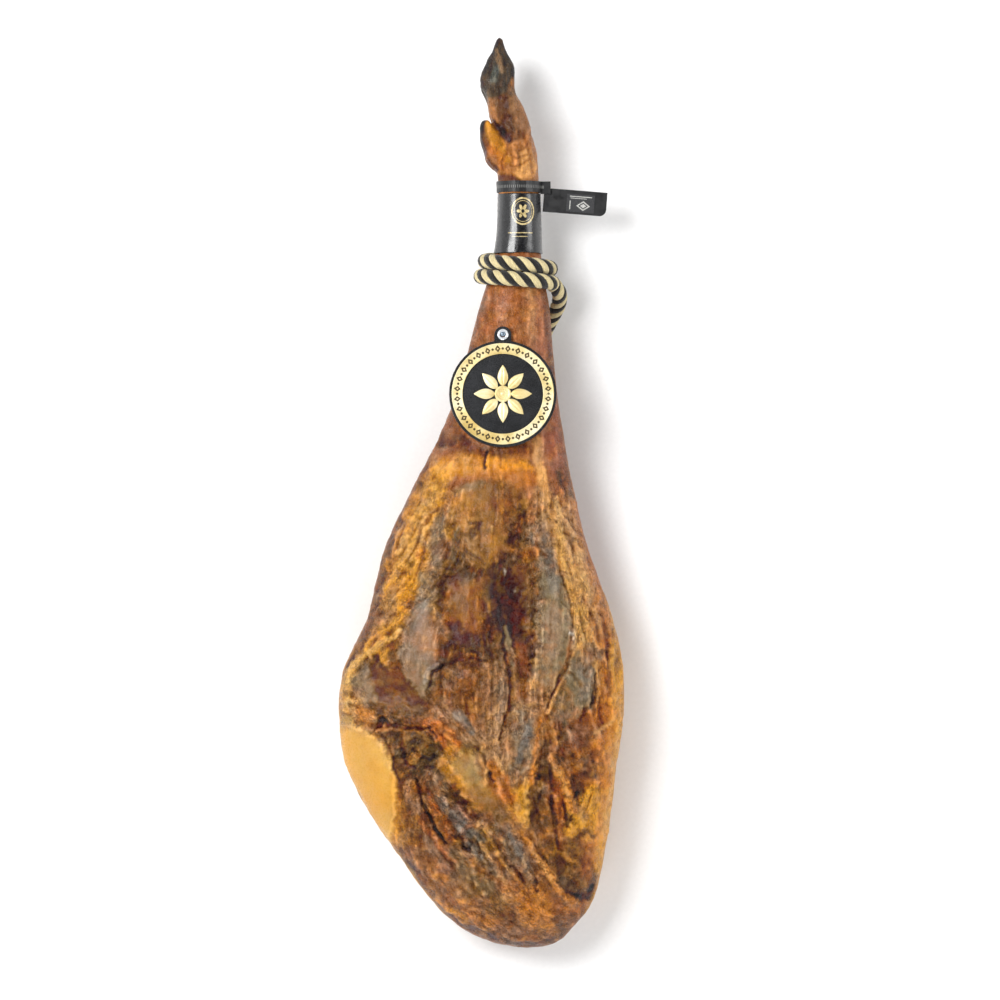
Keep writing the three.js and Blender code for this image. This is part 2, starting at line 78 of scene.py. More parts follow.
# ---------------------------------------------------------------- node helpers
class Value:
    """A socket of a node tree that can be added, multiplied and compared."""

    def __init__(self, nodes, socket):
        self.nodes = nodes
        self.socket = socket

    def __add__(self, other):
        return self.nodes.math("ADD", self, other)

    __radd__ = __add__

    def __sub__(self, other):
        return self.nodes.math("SUBTRACT", self, other)

    def __rsub__(self, other):
        return self.nodes.math("SUBTRACT", other, self)

    def __mul__(self, other):
        return self.nodes.math("MULTIPLY", self, other)

    def __truediv__(self, other):
        return self.nodes.math("DIVIDE", self, other)

    def __lt__(self, other):
        return self.nodes.math("LESS_THAN", self, other)

    def __gt__(self, other):
        return self.nodes.math("GREATER_THAN", self, other)

    def __abs__(self):
        return self.nodes.math("ABSOLUTE", self)


class Nodes:
    """A short way to write a material's node tree."""

    def __init__(self, name):
        self.material = bpy.data.materials.new(name)
        self.material.use_nodes = True
        self.tree = self.material.node_tree
        self.tree.nodes.clear()
        self.shader = self.tree.nodes.new("ShaderNodeBsdfPrincipled")
        out = self.tree.nodes.new("ShaderNodeOutputMaterial")
        self.tree.links.new(self.shader.outputs[0], out.inputs["Surface"])

    def put(self, value, target):
        """Links a value to an input, or sets the input to a number, a vector or a hex colour."""
        if isinstance(value, Value):
            self.tree.links.new(value.socket, target)
        elif isinstance(value, str):
            target.default_value = (*rgb(value), 1)
        else:
            target.default_value = value

    def make(self, kind, inputs, output=0, **settings):
        """Adds a node, fills its inputs and gives one of its outputs."""
        node = self.tree.nodes.new("ShaderNode" + kind)
        for key, value in settings.items():
            setattr(node, key, value)
        for key, value in inputs.items():
            self.put(value, node.inputs[key])
        return Value(self, node.outputs[output])

    def math(self, operation, a, b=0.0, clamp=False):
        return self.make("Math", {0: a, 1: b}, operation=operation, use_clamp=clamp)

    def near(self, value, centre, reach):
        """1 where value is within reach of centre."""
        return self.make("Math", {0: value, 1: centre, 2: reach}, operation="COMPARE")

    def noise(self, vector, scale, detail=3.0, rough=0.55):
        return self.make("TexNoise", {"Vector": vector, "Scale": scale, "Detail": detail, "Roughness": rough})

    def ramp(self, value, stops):
        """A colour for each position: {position: hex colour or grey level}."""
        result = self.make("ValToRGB", {0: value})
        elements = result.socket.node.color_ramp.elements
        while len(elements) < len(stops):
            elements.new(0.5)
        for element, (at, colour) in zip(elements, stops.items()):
            element.position = at
            element.color = (*rgb(colour), 1) if isinstance(colour, str) else (colour, colour, colour, 1)
        return result

    def mix(self, factor, a, b, blend="MIX"):
        return self.make("Mix", {0: factor, 6: a, 7: b}, 2, data_type="RGBA", blend_type=blend)

    def remap(self, value, a, b, c, d):
        return self.make("MapRange", {0: value, 1: a, 2: b, 3: c, 4: d})

    def bump(self, height, distance, strength=1.0, normal=None):
        inputs = {"Height": height, "Distance": distance, "Strength": strength}
        if normal is not None:
            inputs["Normal"] = normal
        return self.make("Bump", inputs)

    def set(self, **values):
        """Sets the shader's inputs, with _ for a space in their names."""
        for key, value in values.items():
            self.put(value, self.shader.inputs[key.replace("_", " ")])

    def object_coords(self):
        return self.make("TexCoord", {}, "Object")

    def attribute(self, name, output="Fac"):
        return self.make("Attribute", {}, output, attribute_name=name)

    def parts(self, vector):
        """The x, y and z of a vector."""
        node = self.make("SeparateXYZ", {0: vector}).socket.node
        return [Value(self, socket) for socket in node.outputs]


# ---------------------------------------------------------------- mesh helpers
def linked(name, data):
    """A new object in the scene."""
    obj = bpy.data.objects.new(name, data)
    bpy.context.scene.collection.objects.link(obj)
    return obj


def new_object(name, vertices, faces, material, sharp=None):
    """A smooth-shaded mesh with its faces turned outwards. sharp is the crease angle in degrees."""
    mesh = bpy.data.meshes.new(name)
    mesh.from_pydata([tuple(v) for v in vertices], [], faces)
    mesh.validate()
    mesh.materials.append(material)
    shape = bmesh.new()
    shape.from_mesh(mesh)
    bmesh.ops.recalc_face_normals(shape, faces=shape.faces)
    shape.to_mesh(mesh)
    shape.free()
    mesh.shade_smooth()
    if sharp:
        mesh.set_sharp_from_angle(angle=math.radians(sharp))
    return linked(name, mesh)


def round_angles(sides):
    return np.arange(sides) * 2 * math.pi / sides


def tube_faces(rings, sides, first=0, closed=False):
    """Faces between rings of points. The two ends are filled unless the last ring joins the first."""
    faces = []
    for r in range(rings if closed else rings - 1):
        here, there = first + r * sides, first + ((r + 1) % rings) * sides
        for s in range(sides):
            t = (s + 1) % sides
            faces.append((here + s, here + t, there + t, there + s))
    if not closed:
        faces.append(tuple(first + s for s in reversed(range(sides))))
        faces.append(tuple(first + (rings - 1) * sides + s for s in range(sides)))
    return faces


def apply_modifiers(obj):
    bpy.context.view_layer.update()
    graph = bpy.context.evaluated_depsgraph_get()
    mesh = bpy.data.meshes.new_from_object(obj.evaluated_get(graph))
    obj.modifiers.clear()
    obj.data = mesh


def copy_of(node, name, material):
    """The CAD node's mesh in a new object of its own."""
    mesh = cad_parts[node].data.copy()
    mesh.name = name
    mesh.materials.clear()
    mesh.materials.append(material)
    return linked(name, mesh)


def dress(obj, slot, *nodes):
    """Rides on the one body and stands for its CAD nodes. Its slot is not used."""
    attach(obj, "root")
    if nodes:
        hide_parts(*nodes)


def vertex_array(mesh, normals=False):
    """A row for each vertex: its place in metres, or its normal."""
    data = np.zeros(len(mesh.vertices) * 3, np.float32)
    if normals:
        mesh.vertex_normals.foreach_get("vector", data)
    else:
        mesh.vertices.foreach_get("co", data)
    return data.reshape(-1, 3).astype(float)


def set_attribute(mesh, name, values, kind="FLOAT"):
    """A number, vector or colour at each vertex, for the material to read."""
    if kind == "FLOAT_COLOR":
        values = np.concatenate([values, np.ones((len(values), 1))], 1)
    layer = mesh.attributes.new(name, kind, "POINT")
    field = {"FLOAT": "value", "FLOAT_VECTOR": "vector", "FLOAT_COLOR": "color"}[kind]
    layer.data.foreach_set(field, np.asarray(values, np.float32).ravel())


# ---------------------------------------------------------------- camera, light and floor
VIEW_MIDDLE = Vector((0.0165, -0.0055, 0))  # the camera looks straight down on it
VIEW_HEIGHT = 5.06
LENS, SENSOR = 200, 36
FLOOR_REACH, FLOOR_DROP = 6, 0.0002
LAMP_AIM = Vector((0, 0, 0.05))
# Place, size and watts of each lamp.
LAMPS = {
    "key": ((-1.35, 0.8, 2.6), (1.3, 1.3), 82),
    "front": ((-0.3, -2.0, 2.0), (1.4, 0.8), 22),
    "right": ((1.9, 0.2, 1.5), (1.0, 1.0), 16),
}


def studio_world():
    """White round the horizon and dark overhead, so flat glossy black stays black from above."""
    world = bpy.data.worlds.new("studio")
    world.use_nodes = True
    nodes, links = world.node_tree.nodes, world.node_tree.links
    direction = nodes.new("ShaderNodeTexCoord")
    split = nodes.new("ShaderNodeSeparateXYZ")
    ramp = nodes.new("ShaderNodeValToRGB")
    links.new(direction.outputs["Generated"], split.inputs[0])
    links.new(split.outputs["Z"], ramp.inputs[0])
    links.new(ramp.outputs[0], nodes["Background"].inputs["Color"])
    for element, at, level in zip(ramp.color_ramp.elements, (0.45, 0.92), (1, 0.06)):
        element.position = at
        element.color = (level, level, level, 1)
    nodes["Background"].inputs["Strength"].default_value = 0.95
    return world


def stage():
    scene = bpy.context.scene
    scene.view_settings.view_transform = "Standard"
    scene.world = studio_world()
    lens = bpy.data.cameras.new("camera")
    lens.lens = LENS
    lens.sensor_width = SENSOR
    scene.camera = linked("camera", lens)
    scene.camera.location = VIEW_MIDDLE + Vector((0, 0, VIEW_HEIGHT))
    m = Nodes("floor")
    m.set(Base_Color=m.ramp(m.noise(m.object_coords(), 260, 3), {0.3: 0.86, 0.7: 0.89}), Roughness=0.75)
    r = FLOOR_REACH
    floor = new_object("floor", [(-r, -r, 0), (r, -r, 0), (r, r, 0), (-r, r, 0)], [(0, 1, 2, 3)], m.material)
    floor.location.z = -FLOOR_DROP
    for name, (at, size, watts) in LAMPS.items():
        lamp = bpy.data.lights.new(name, "AREA")
        lamp.shape = "RECTANGLE"
        lamp.size, lamp.size_y = size
        lamp.energy = watts
        obj = linked(name, lamp)
        obj.location = at
        obj.rotation_euler = (LAMP_AIM - Vector(at)).to_track_quat("-Z", "Y").to_euler()


stage()

# ---------------------------------------------------------------- rope
ROPE_D = 13.4
ROPE_PITCH = 13.6  # from one turn round the leg to the next
ROPE_TOP_Y = 616.0  # middle of the upper turn on the inner side
ROPE_CLEARANCE = 0.4
ROPE_STEP, ROPE_SMOOTHING = 1.1, 3
STRANDS = 4
STRAND_SHARE = 0.47  # of the rope's radius
LAY = 28.0  # length of one turn of a strand
YARNS = 7  # ridges round a strand
YARN_TWIST = 0.42  # radians in a mm
SHIFT = np.array([16.0254, -410.0, 0.0])  # from the leg's own layout to the row frame
LEG_MIDDLE = np.array([15.4, 0, 59.5]) + SHIFT * (1, 0, 1)
START = [
    (15.2, 549, 8.7), (15.2, 557, 8.7), (15.2, 572, 8.7), (15.6, 580, 9.6), (17.4, 589, 11.6),
    (18.4, 599, 15.0), (16.5, 608, 17.2), (10.5, 616, 19.0), (2.5, 621, 24.0), (-7.0, 621.4, 34.0),
]
LOOP = [
    (53.2, 593, 51.5), (54.5, 588, 43), (53, 580, 33), (47.5, 569.5, 23), (40.5, 555, 14.5),
    (35, 537, 9), (31.5, 518, 7.1), (30, 498.5, 7), (26.2, 484.2, 7), (15.7, 473.8, 7),
    (1.5, 470, 7), (-12.7, 473.8, 7), (-23.2, 484.2, 7), (-27, 498.5, 7), (-25.4, 509, 7),
    (-21, 518.5, 7), (-14.7, 526.5, 7.1), (-8.8, 532.8, 7.4), (-4.7, 538.8, 7.9),
    (-1.8, 545, 8.3), (-0.3, 551, 8.6), (0.2, 557, 8.7), (0.2, 572, 8.7), (0.2, 579, 8.7),
]


RAY_START = 0.2  # outside the leg, in metres


def leg_tree():
    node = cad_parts["ham"]
    return BVHTree.FromPolygons(
        [v.co[:] for v in node.data.vertices], [p.vertices[:] for p in node.data.polygons]
    )


LEG = leg_tree()


def round_leg(angle, y, lift):
    """A point lift mm outside the leg. Angle 0 is the inner side, 90 the +x side, in degrees."""
    a = math.radians(angle)
    out = Vector((math.sin(a), 0, math.cos(a)))
    centre = Vector((LEG_MIDDLE + (0, y + SHIFT[1], 0)) * MM)
    hit = LEG.ray_cast(centre + out * RAY_START, -out)[0]
    return np.array(hit + out * lift * MM) / MM


def rope_route():
    """Start at the lashing, two turns round the leg, then the free loop back to the lashing."""
    turns = [
        round_leg(angle, ROPE_TOP_Y - ROPE_PITCH * angle / 360, ROPE_D / 2 + ROPE_CLEARANCE)
        for angle in range(-90, 451, 20)
    ]
    return np.vstack([START + SHIFT, turns, LOOP + SHIFT])


def resampled(points, step, smoothing=0):
    """Catmull-Rom through the points, then points at equal steps along it."""
    p = np.vstack([2 * points[0] - points[1], points, 2 * points[-1] - points[-2]])
    t = np.linspace(0, 1, 24, endpoint=False)[:, None]
    curve = []
    for a, b, c, d in zip(p, p[1:], p[2:], p[3:]):
        square, cube = 2 * a - 5 * b + 4 * c - d, 3 * (b - c) + d - a
        curve.append(0.5 * (2 * b + (c - a) * t + square * t ** 2 + cube * t ** 3))
    curve = np.vstack(curve + [points[-1:]])
    for _ in range(2):
        s = np.concatenate([[0], np.cumsum(np.linalg.norm(np.diff(curve, axis=0), axis=1))])
        at = np.linspace(0, s[-1], max(2, int(round(s[-1] / step)) + 1))
        curve = np.stack([np.interp(at, s, curve[:, k]) for k in range(3)], 1)
        for _ in range(smoothing):
            curve[1:-1] = 0.25 * curve[:-2] + 0.5 * curve[1:-1] + 0.25 * curve[2:]
    return curve


def frames_along(curve):
    """Tangents and two normals that don't twist along the curve."""
    tangent = np.gradient(curve, axis=0)
    tangent /= np.linalg.norm(tangent, axis=1)[:, None]
    normals = [np.cross(tangent[0], (0.3, 0.1, 1))]
    normals[0] /= np.linalg.norm(normals[0])
    for t in tangent[1:]:
        n = normals[-1] - t * (normals[-1] @ t)
        normals.append(n / np.linalg.norm(n))
    normals = np.array(normals)
    return tangent, normals, np.cross(tangent, normals)


def rope_look():
    m = Nodes("laid_rope")
    yarn = m.noise(m.attribute("yarn", "Vector"), 1.0, 2)
    fibre = m.noise(m.object_coords(), 2600, 4, 0.7)
    gold = m.ramp(fibre, {0.25: "96803f", 0.42: "dcc88a", 0.58: "f2e4b6", 0.8: "fbf4da"})
    black = m.ramp(fibre, {0.3: "050403", 0.6: "120e0b", 0.85: "33291f"})
    base = m.mix(m.attribute("strand"), black, gold)
    base = m.mix(m.remap(yarn, 0.35, 0.65, 0.0, 0.35), base, "5d4622", "MULTIPLY")
    m.set(Base_Color=base, Roughness=m.remap(fibre, 0.3, 0.8, 0.62, 0.85))
    m.set(Sheen_Weight=0.25, Specular_IOR_Level=0.3)
    m.set(Normal=m.bump(fibre, 0.0006, 0.6, m.bump(yarn, 0.0012, 0.7)))
    return m.material


def rope():
    """Strands laid round the route. The object, its middle line and its length come back."""
    curve = resampled(rope_route(), ROPE_STEP, ROPE_SMOOTHING)
    tangent, side, up = frames_along(curve)
    length = np.linalg.norm(np.diff(curve, axis=0), axis=1).sum()
    s = np.linspace(0, length, len(curve))
    sides = 3 * YARNS
    strand_r = ROPE_D / 2 * STRAND_SHARE
    offset = ROPE_D / 2 - strand_r
    # a strand leans across the rope, so its round section is drawn out sideways
    stretch = 1 / math.cos(math.atan(2 * math.pi * offset / LAY))
    around = round_angles(sides)
    vertices, faces, tone, yarn = [], [], [], []
    for k in range(STRANDS):
        turn = 2 * math.pi * (k / STRANDS + s / LAY)
        out = side * np.cos(turn)[:, None] + up * np.sin(turn)[:, None]
        cross = np.cross(tangent, out)
        centre = curve + out * offset
        for i in range(len(curve)):
            bulge = 1 + 0.07 * np.abs(np.cos(YARNS / 2 * (around - s[i] * YARN_TWIST)))
            r = strand_r * bulge * (0.95 if i in (0, len(curve) - 1) else 1)
            across = np.outer(r * np.cos(around), out[i])
            vertices.append(centre[i] + across + np.outer(r * np.sin(around) * stretch, cross[i]))
            tone += [1 - k % 2] * sides
            # where the noise of the yarns is read: fast round the strand, slowly along it
            yarn += [(a * 2.2 - s[i] * 0.9, s[i] * 0.25, k * 9.0) for a in around]
        faces += tube_faces(len(curve), sides, k * len(curve) * sides)
    obj = new_object("rope", np.vstack(vertices) * MM, faces, rope_look())
    set_attribute(obj.data, "strand", tone)
    set_attribute(obj.data, "yarn", yarn, "FLOAT_VECTOR")
    return obj, curve * MM, length * MM


TWINE_R, TWINE_SIDES = 0.72, 8
TWINE_TURNS, TWINE_STEPS = 13, 36  # steps in a turn
TWINE_LIFT = 0.6  # of its middle over the rope
LASHING_MIDDLE = (7.7, 8.7)  # x and z
LASHING_Y = (554.2, 573.8)
LASHING_HALF = 7.0  # from the middle to a rope's own middle


def lashing():
    """Waxed twine wound round the rope's two ends."""
    x, z = LASHING_MIDDLE[0] + SHIFT[0], LASHING_MIDDLE[1]
    y0, y1 = (y + SHIFT[1] for y in LASHING_Y)
    r = ROPE_D / 2 + TWINE_LIFT
    points = []
    for i in range(TWINE_TURNS * TWINE_STEPS + 1):
        t = i / TWINE_STEPS
        a = 2 * math.pi * t
        beside = math.copysign(LASHING_HALF, math.cos(a)) * min(1, abs(math.cos(a)) * 3)
        points.append((x + beside + r * math.cos(a), y0 + (y1 - y0) * t / TWINE_TURNS, z + r * math.sin(a)))
    curve = resampled(np.array(points), 1.2)
    _, side, up = frames_along(curve)
    around = round_angles(TWINE_SIDES)
    rings = [
        c + TWINE_R * (np.outer(np.cos(around), n) + np.outer(np.sin(around), b))
        for c, n, b in zip(curve, side, up)
    ]
    m = Nodes("waxed_twine")
    fibre = m.noise(m.object_coords(), 2200, 3)
    m.set(Base_Color=m.ramp(fibre, {0.3: "120e0b", 0.7: "3b2f26"}), Roughness=0.5)
    m.set(Normal=m.bump(fibre, 0.0004, 0.6))
    faces = tube_faces(len(rings), TWINE_SIDES)
    return new_object("rope_lashing_twine", np.vstack(rings) * MM, faces, m.material)


rope_piece, rope_path, rope_length = rope()
lashing_piece = lashing()
dress(rope_piece, "rope", "rope_turns", "rope_start", "rope_loop")
dress(lashing_piece, "twine", "rope_lashing")


# ---------------------------------------------------------------- noise
def hashed(cells, seed):
    """A repeatable value from 0 to 1 for each whole-number cell."""
    keys = np.array([73856093, 19349663, 83492791], np.int64)[:cells.shape[-1]]
    h = (cells.astype(np.int64) * keys).sum(-1) + seed * 2654435761
    h = (h ^ (h >> 13)) * 1274126177 & 0xFFFFFFFF
    h = (h ^ (h >> 16)) * 2246822519 & 0xFFFFFFFF
    return (h ^ (h >> 15)).astype(float) / 0xFFFFFFFF


def smooth_noise(points, seed):
    """Value noise from -1 to 1 at points of two or three dimensions, one cell to a unit."""
    base = np.floor(points)
    f = points - base
    f = f * f * f * (f * (f * 6 - 15) + 10)
    total = 0
    dims = points.shape[-1]
    for corner in range(2 ** dims):
        bits = np.array([(corner >> d) & 1 for d in range(dims)])
        weight = np.prod(np.where(bits, f, 1 - f), axis=-1)
        total = total + weight * hashed(base + bits, seed)
    return total * 2 - 1


def fractal(points, size, octaves, seed, ridged=False):
    """Several octaves of noise whose largest cells are size across."""
    total, amplitude, reach = 0, 1.0, 0.0
    p = points / size
    for k in range(octaves):
        n = smooth_noise(p + 17.3 * k, seed + k)
        total = total + amplitude * ((1 - 2 * np.abs(n)) if ridged else n)
        reach += amplitude
        amplitude *= 0.55
        p = p * 2.03
    return total / reach


def smoothstep(low, high, value):
    t = np.clip((value - low) / (high - low), 0, 1)
    return t * t * (3 - 2 * t)


# ---------------------------------------------------------------- marks on the inner side
# What the trimmed side shows, from the bottom layer up. A mark is a chain of rounds:
# (colour, cover, soft edge in mm, height in mm, [(across, along, radius in mm), ...]).
# across runs from -100 at the leg's left edge to 100 at its right edge, and along from 0 at
# the butt to 100 at the claw, both in percent of the leg's own outline.
NECK = [
    (SKIN, 1, 9, 0, [(0, 82, 50), (0, 68, 55), (0, 56, 74)]),
    (SKIN_ROSE, 0.8, 5, 0.3, [(66, 71, 4), (70, 62, 6), (76, 56, 8)]),
    (SKIN_ROSE, 0.5, 4, 0.3, [(-30, 72, 5), (-44, 69.5, 5)]),
    (RED_BROWN, 0.5, 4, -0.3, [(10, 72.5, 4), (4, 69, 4)]),
    (RED_BROWN, 0.5, 3, -0.3, [(-62, 71.5, 3), (-70, 67, 4)]),
    (PURPLE, 0.6, 6, 0, [(-88, 70, 4), (-86, 62, 6), (-84, 57, 7)]),
    (PURPLE, 0.7, 3, -0.3, [(88, 72, 3), (90, 66, 3), (92, 60, 4)]),
    (PURPLE_DARK, 0.6, 2, -0.3, [(98, 71, 2), (99, 64, 2), (99, 56, 3)]),
    (PURPLE_DARK, 0.6, 2, -0.3, [(-98, 73, 2), (-99, 66, 2), (-99, 60, 3)]),
    (TENDON, 0.35, 4, 0.3, [(45, 72.5, 3), (50, 70, 3), (52, 67, 2)]),
    (PURPLE_RED, 0.9, 4, 0, [(82, 60, 7), (82, 56, 9), (86, 53, 9)]),
    (PURPLE_DARK, 0.85, 3, -0.3, [(-96, 56.5, 4), (-88, 55.4, 5), (-66, 56, 5), (-50, 55.6, 4)]),
    (RED_BROWN, 0.6, 3, 0, [(-70, 54.8, 3), (-55, 55.3, 4), (-40, 55, 4)]),
    (RED_BROWN, 0.7, 3, 0, [(5, 54.8, 4), (26, 54.6, 4), (44, 55, 4)]),
    (PURPLE_DARK, 0.9, 2, -0.3, [(84, 52.6, 2), (90, 51.2, 5), (97, 50.2, 5), (98, 53, 3)]),
]
GOLD_BAND = [
    (FAT_GOLD, 0.95, 5, 0.8, [(-84, 52.8, 5), (-62, 53.2, 8), (-34, 53.2, 8), (0, 53, 7), (38, 52.8, 5)]),
    (FAT_TAN, 0.5, 4, 0.5, [(-70, 52.4, 6), (-56, 53.6, 4), (-36, 53.8, 3)]),
    (FAT_AMBER, 0.8, 3, 0.2, [(-62, 52, 4), (-50, 52.4, 5), (-34, 52.6, 4)]),
    (AMBER_BRIGHT, 0.7, 6, 0, [(0, 52.2, 6), (26, 51.9, 7), (44, 51.6, 6)]),
    (PURPLE_DARK, 0.75, 2, -0.6, [(-22, 54.8, 4), (-18, 53.6, 2), (-17, 52.7, 1.4)]),
    (BLACK, 0.9, 0.8, -0.9, [(-15, 54.4, 1), (-15, 52.8, 0.9)]),
    (FAT_TAN, 0.8, 3, 0.4, [(56, 56, 3), (57, 53, 4), (62, 50.6, 5), (66, 48.6, 6)]),
    (PINK, 0.5, 3, 0, [(58, 55.6, 4), (60, 54, 4)]),
]
LEFT_RIM = [
    (FAT_OCHRE, 1, 5, 0, [(-72, 51.4, 12), (-76, 47, 20), (-80, 41, 22), (-82, 36, 20), (-84, 31, 13)]),
    (FAT_PALE, 0.75, 4, 0.8, [(-72, 50.6, 6), (-72, 47.6, 8), (-70, 45.4, 7), (-74, 42.6, 6)]),
    (FAT_HIGHLIGHT, 0.7, 2, 0.8, [(-66, 47.4, 3), (-64, 45.4, 4), (-58, 44.2, 3)]),
    (FAT_ORANGE, 0.8, 2, 0.8, [(-63, 43.4, 4)]),
    (FAT_PALE, 0.5, 5, 0.2, [(-78, 50, 7), (-80, 46, 8), (-82, 41, 7)]),
    (AMBER_BRIGHT, 0.5, 3, -0.3, [(-90, 49, 4), (-90, 45, 5), (-90, 41, 5)]),
    (RIND, 0.85, 3, -0.4, [
        (-98, 54, 3), (-98, 46, 3), (-98, 41, 5), (-97, 37, 7), (-97, 33, 5), (-100, 30, 3),
    ]),
    (PURPLE_DARK, 0.5, 3, 0, [(-92, 39, 4), (-90, 36, 5), (-86, 34.6, 4)]),
    (FAT_HIGHLIGHT, 0.4, 2, 0.8, [(-82, 48, 2), (-80, 45.6, 3), (-84, 43.6, 2)]),
    (RED_BROWN, 0.6, 1.4, -0.6, [(-60, 48.4, 1), (-66, 46.4, 1.6), (-68, 44.2, 1.2), (-76, 42.6, 1)]),
    (RED_BROWN, 0.6, 1.4, -0.6, [(-56, 46, 1), (-60, 44.6, 1.4), (-60, 42.4, 1.6), (-66, 40.4, 1)]),
    (RED_BROWN, 0.5, 1.6, -0.6, [(-78, 49.4, 1), (-84, 46.6, 1.4), (-88, 44, 1.2)]),
    (LILAC, 0.5, 3, -0.3, [(-82, 39.6, 5), (-86, 36, 5), (-80, 37.6, 4)]),
    (FAT_GOLD, 0.65, 3, 0.6, [(-70, 41, 4), (-72, 38, 5), (-66, 36.4, 4)]),
    (FAT_GOLD, 0.6, 4, 0.4, [(-80, 51, 4), (-84, 48.6, 5), (-84, 46, 4)]),
    (AMBER_DARK, 0.75, 3, -0.5, [(-62, 38.6, 3), (-66, 35.4, 4), (-70, 33.4, 4)]),
    (RED_BROWN, 0.6, 4, -0.2, [(-74, 34.6, 5), (-82, 33.4, 4)]),
]
UPPER_MUSCLE = [
    (OLIVE_LIGHT, 0.96, 6, -0.5, [(4, 47.8, 29), (2, 45.6, 38), (1, 43, 42)]),
    (MEAT, 0.6, 8, 0, [(8, 50.6, 8), (24, 50, 10), (38, 49, 8)]),
    (LOBE_ORANGE, 0.6, 3, 0.3, [(-30, 51.4, 3), (-12, 52, 3), (6, 52, 3)]),
    (GREY_OLIVE, 0.7, 3, 0.3, [(-40, 50.2, 4), (-28, 50.8, 4), (-16, 51.2, 3)]),
    (FAT_OCHRE, 0.3, 5, 0, [(-34, 49.4, 9), (-30, 47.6, 10), (-40, 45.6, 7)]),
    (MEAT, 0.85, 5, 0, [(10, 49.4, 10), (26, 48.4, 14), (32, 46.8, 11)]),
    (MEAT_DARK, 0.85, 4, -0.6, [(38, 48.4, 6), (32, 46.8, 9), (28, 45.4, 8)]),
    (MEAT_RED, 0.4, 2, 0, [(46, 49.6, 3), (44, 48, 3), (44, 46.8, 2.4)]),
    (GREY, 0.85, 3, 0, [(-51, 48.4, 3), (-51, 46, 5), (-49, 43.6, 6), (-48, 41.8, 4)]),
    (OLIVE_DARK, 0.7, 3, -0.4, [(-40, 44.6, 4), (-38, 43, 5), (-24, 43.2, 5)]),
    (GREY_OLIVE, 0.75, 1.4, 0.3, [(-31, 46.2, 1.2), (-33, 44.6, 1.6), (-32, 42.8, 1.8)]),
    (DARK, 0.6, 2.2, -0.6, [(-20, 46.8, 2), (-9, 46.9, 2), (-12, 46.2, 3.4), (-17, 45.4, 3)]),
    (FAT_HIGHLIGHT, 0.75, 1, 0.5, [(4, 46.5, 1.3), (4, 46, 1.3)]),
    (MEAT_LIGHT, 0.6, 2, 0.4, [(-20, 44.8, 4), (-10, 44, 4)]),
    (DARK, 0.55, 1.8, -0.5, [(-27, 44.8, 1.6), (-26, 43.6, 1.6), (-30, 42.6, 1.4)]),
    (DARK, 0.5, 1.8, -0.5, [(-18, 43.8, 1.4), (-8, 43.2, 1.8), (-2, 42.6, 1.4)]),
    (OLIVE, 0.8, 4, 0.4, [(4, 46, 5), (8, 45, 7), (10, 44, 7)]),
    (FAT_AMBER, 0.3, 5, 0.2, [(8, 45, 6), (10, 43.6, 6)]),
    (DARK, 0.65, 1.8, -0.8, [
        (24, 45, 2.4), (34, 45.2, 1.4), (43, 45, 2.6), (49, 44.4, 3), (54, 43.2, 1.4),
    ]),
    (GREY_BLUE_SHEEN, 0.7, 1, 0.3, [(44, 45.6, 1.4), (46, 44.8, 1.2)]),
    (STRIP_TAN, 0.85, 3, 0.3, [(54, 50.4, 4), (57, 49, 6), (60, 47.4, 7), (62, 45.8, 7)]),
    (LILAC, 0.8, 3, 0, [(56, 46.4, 4), (60, 44.8, 7), (62, 43.2, 7)]),
    (GREY_BLUE_SHEEN, 0.5, 3, 0, [(57, 45.6, 3), (62, 43.8, 4)]),
    (AMBER, 0.85, 4, 0.3, [(14, 43.4, 6), (30, 43.7, 6), (46, 43.4, 5)]),
]
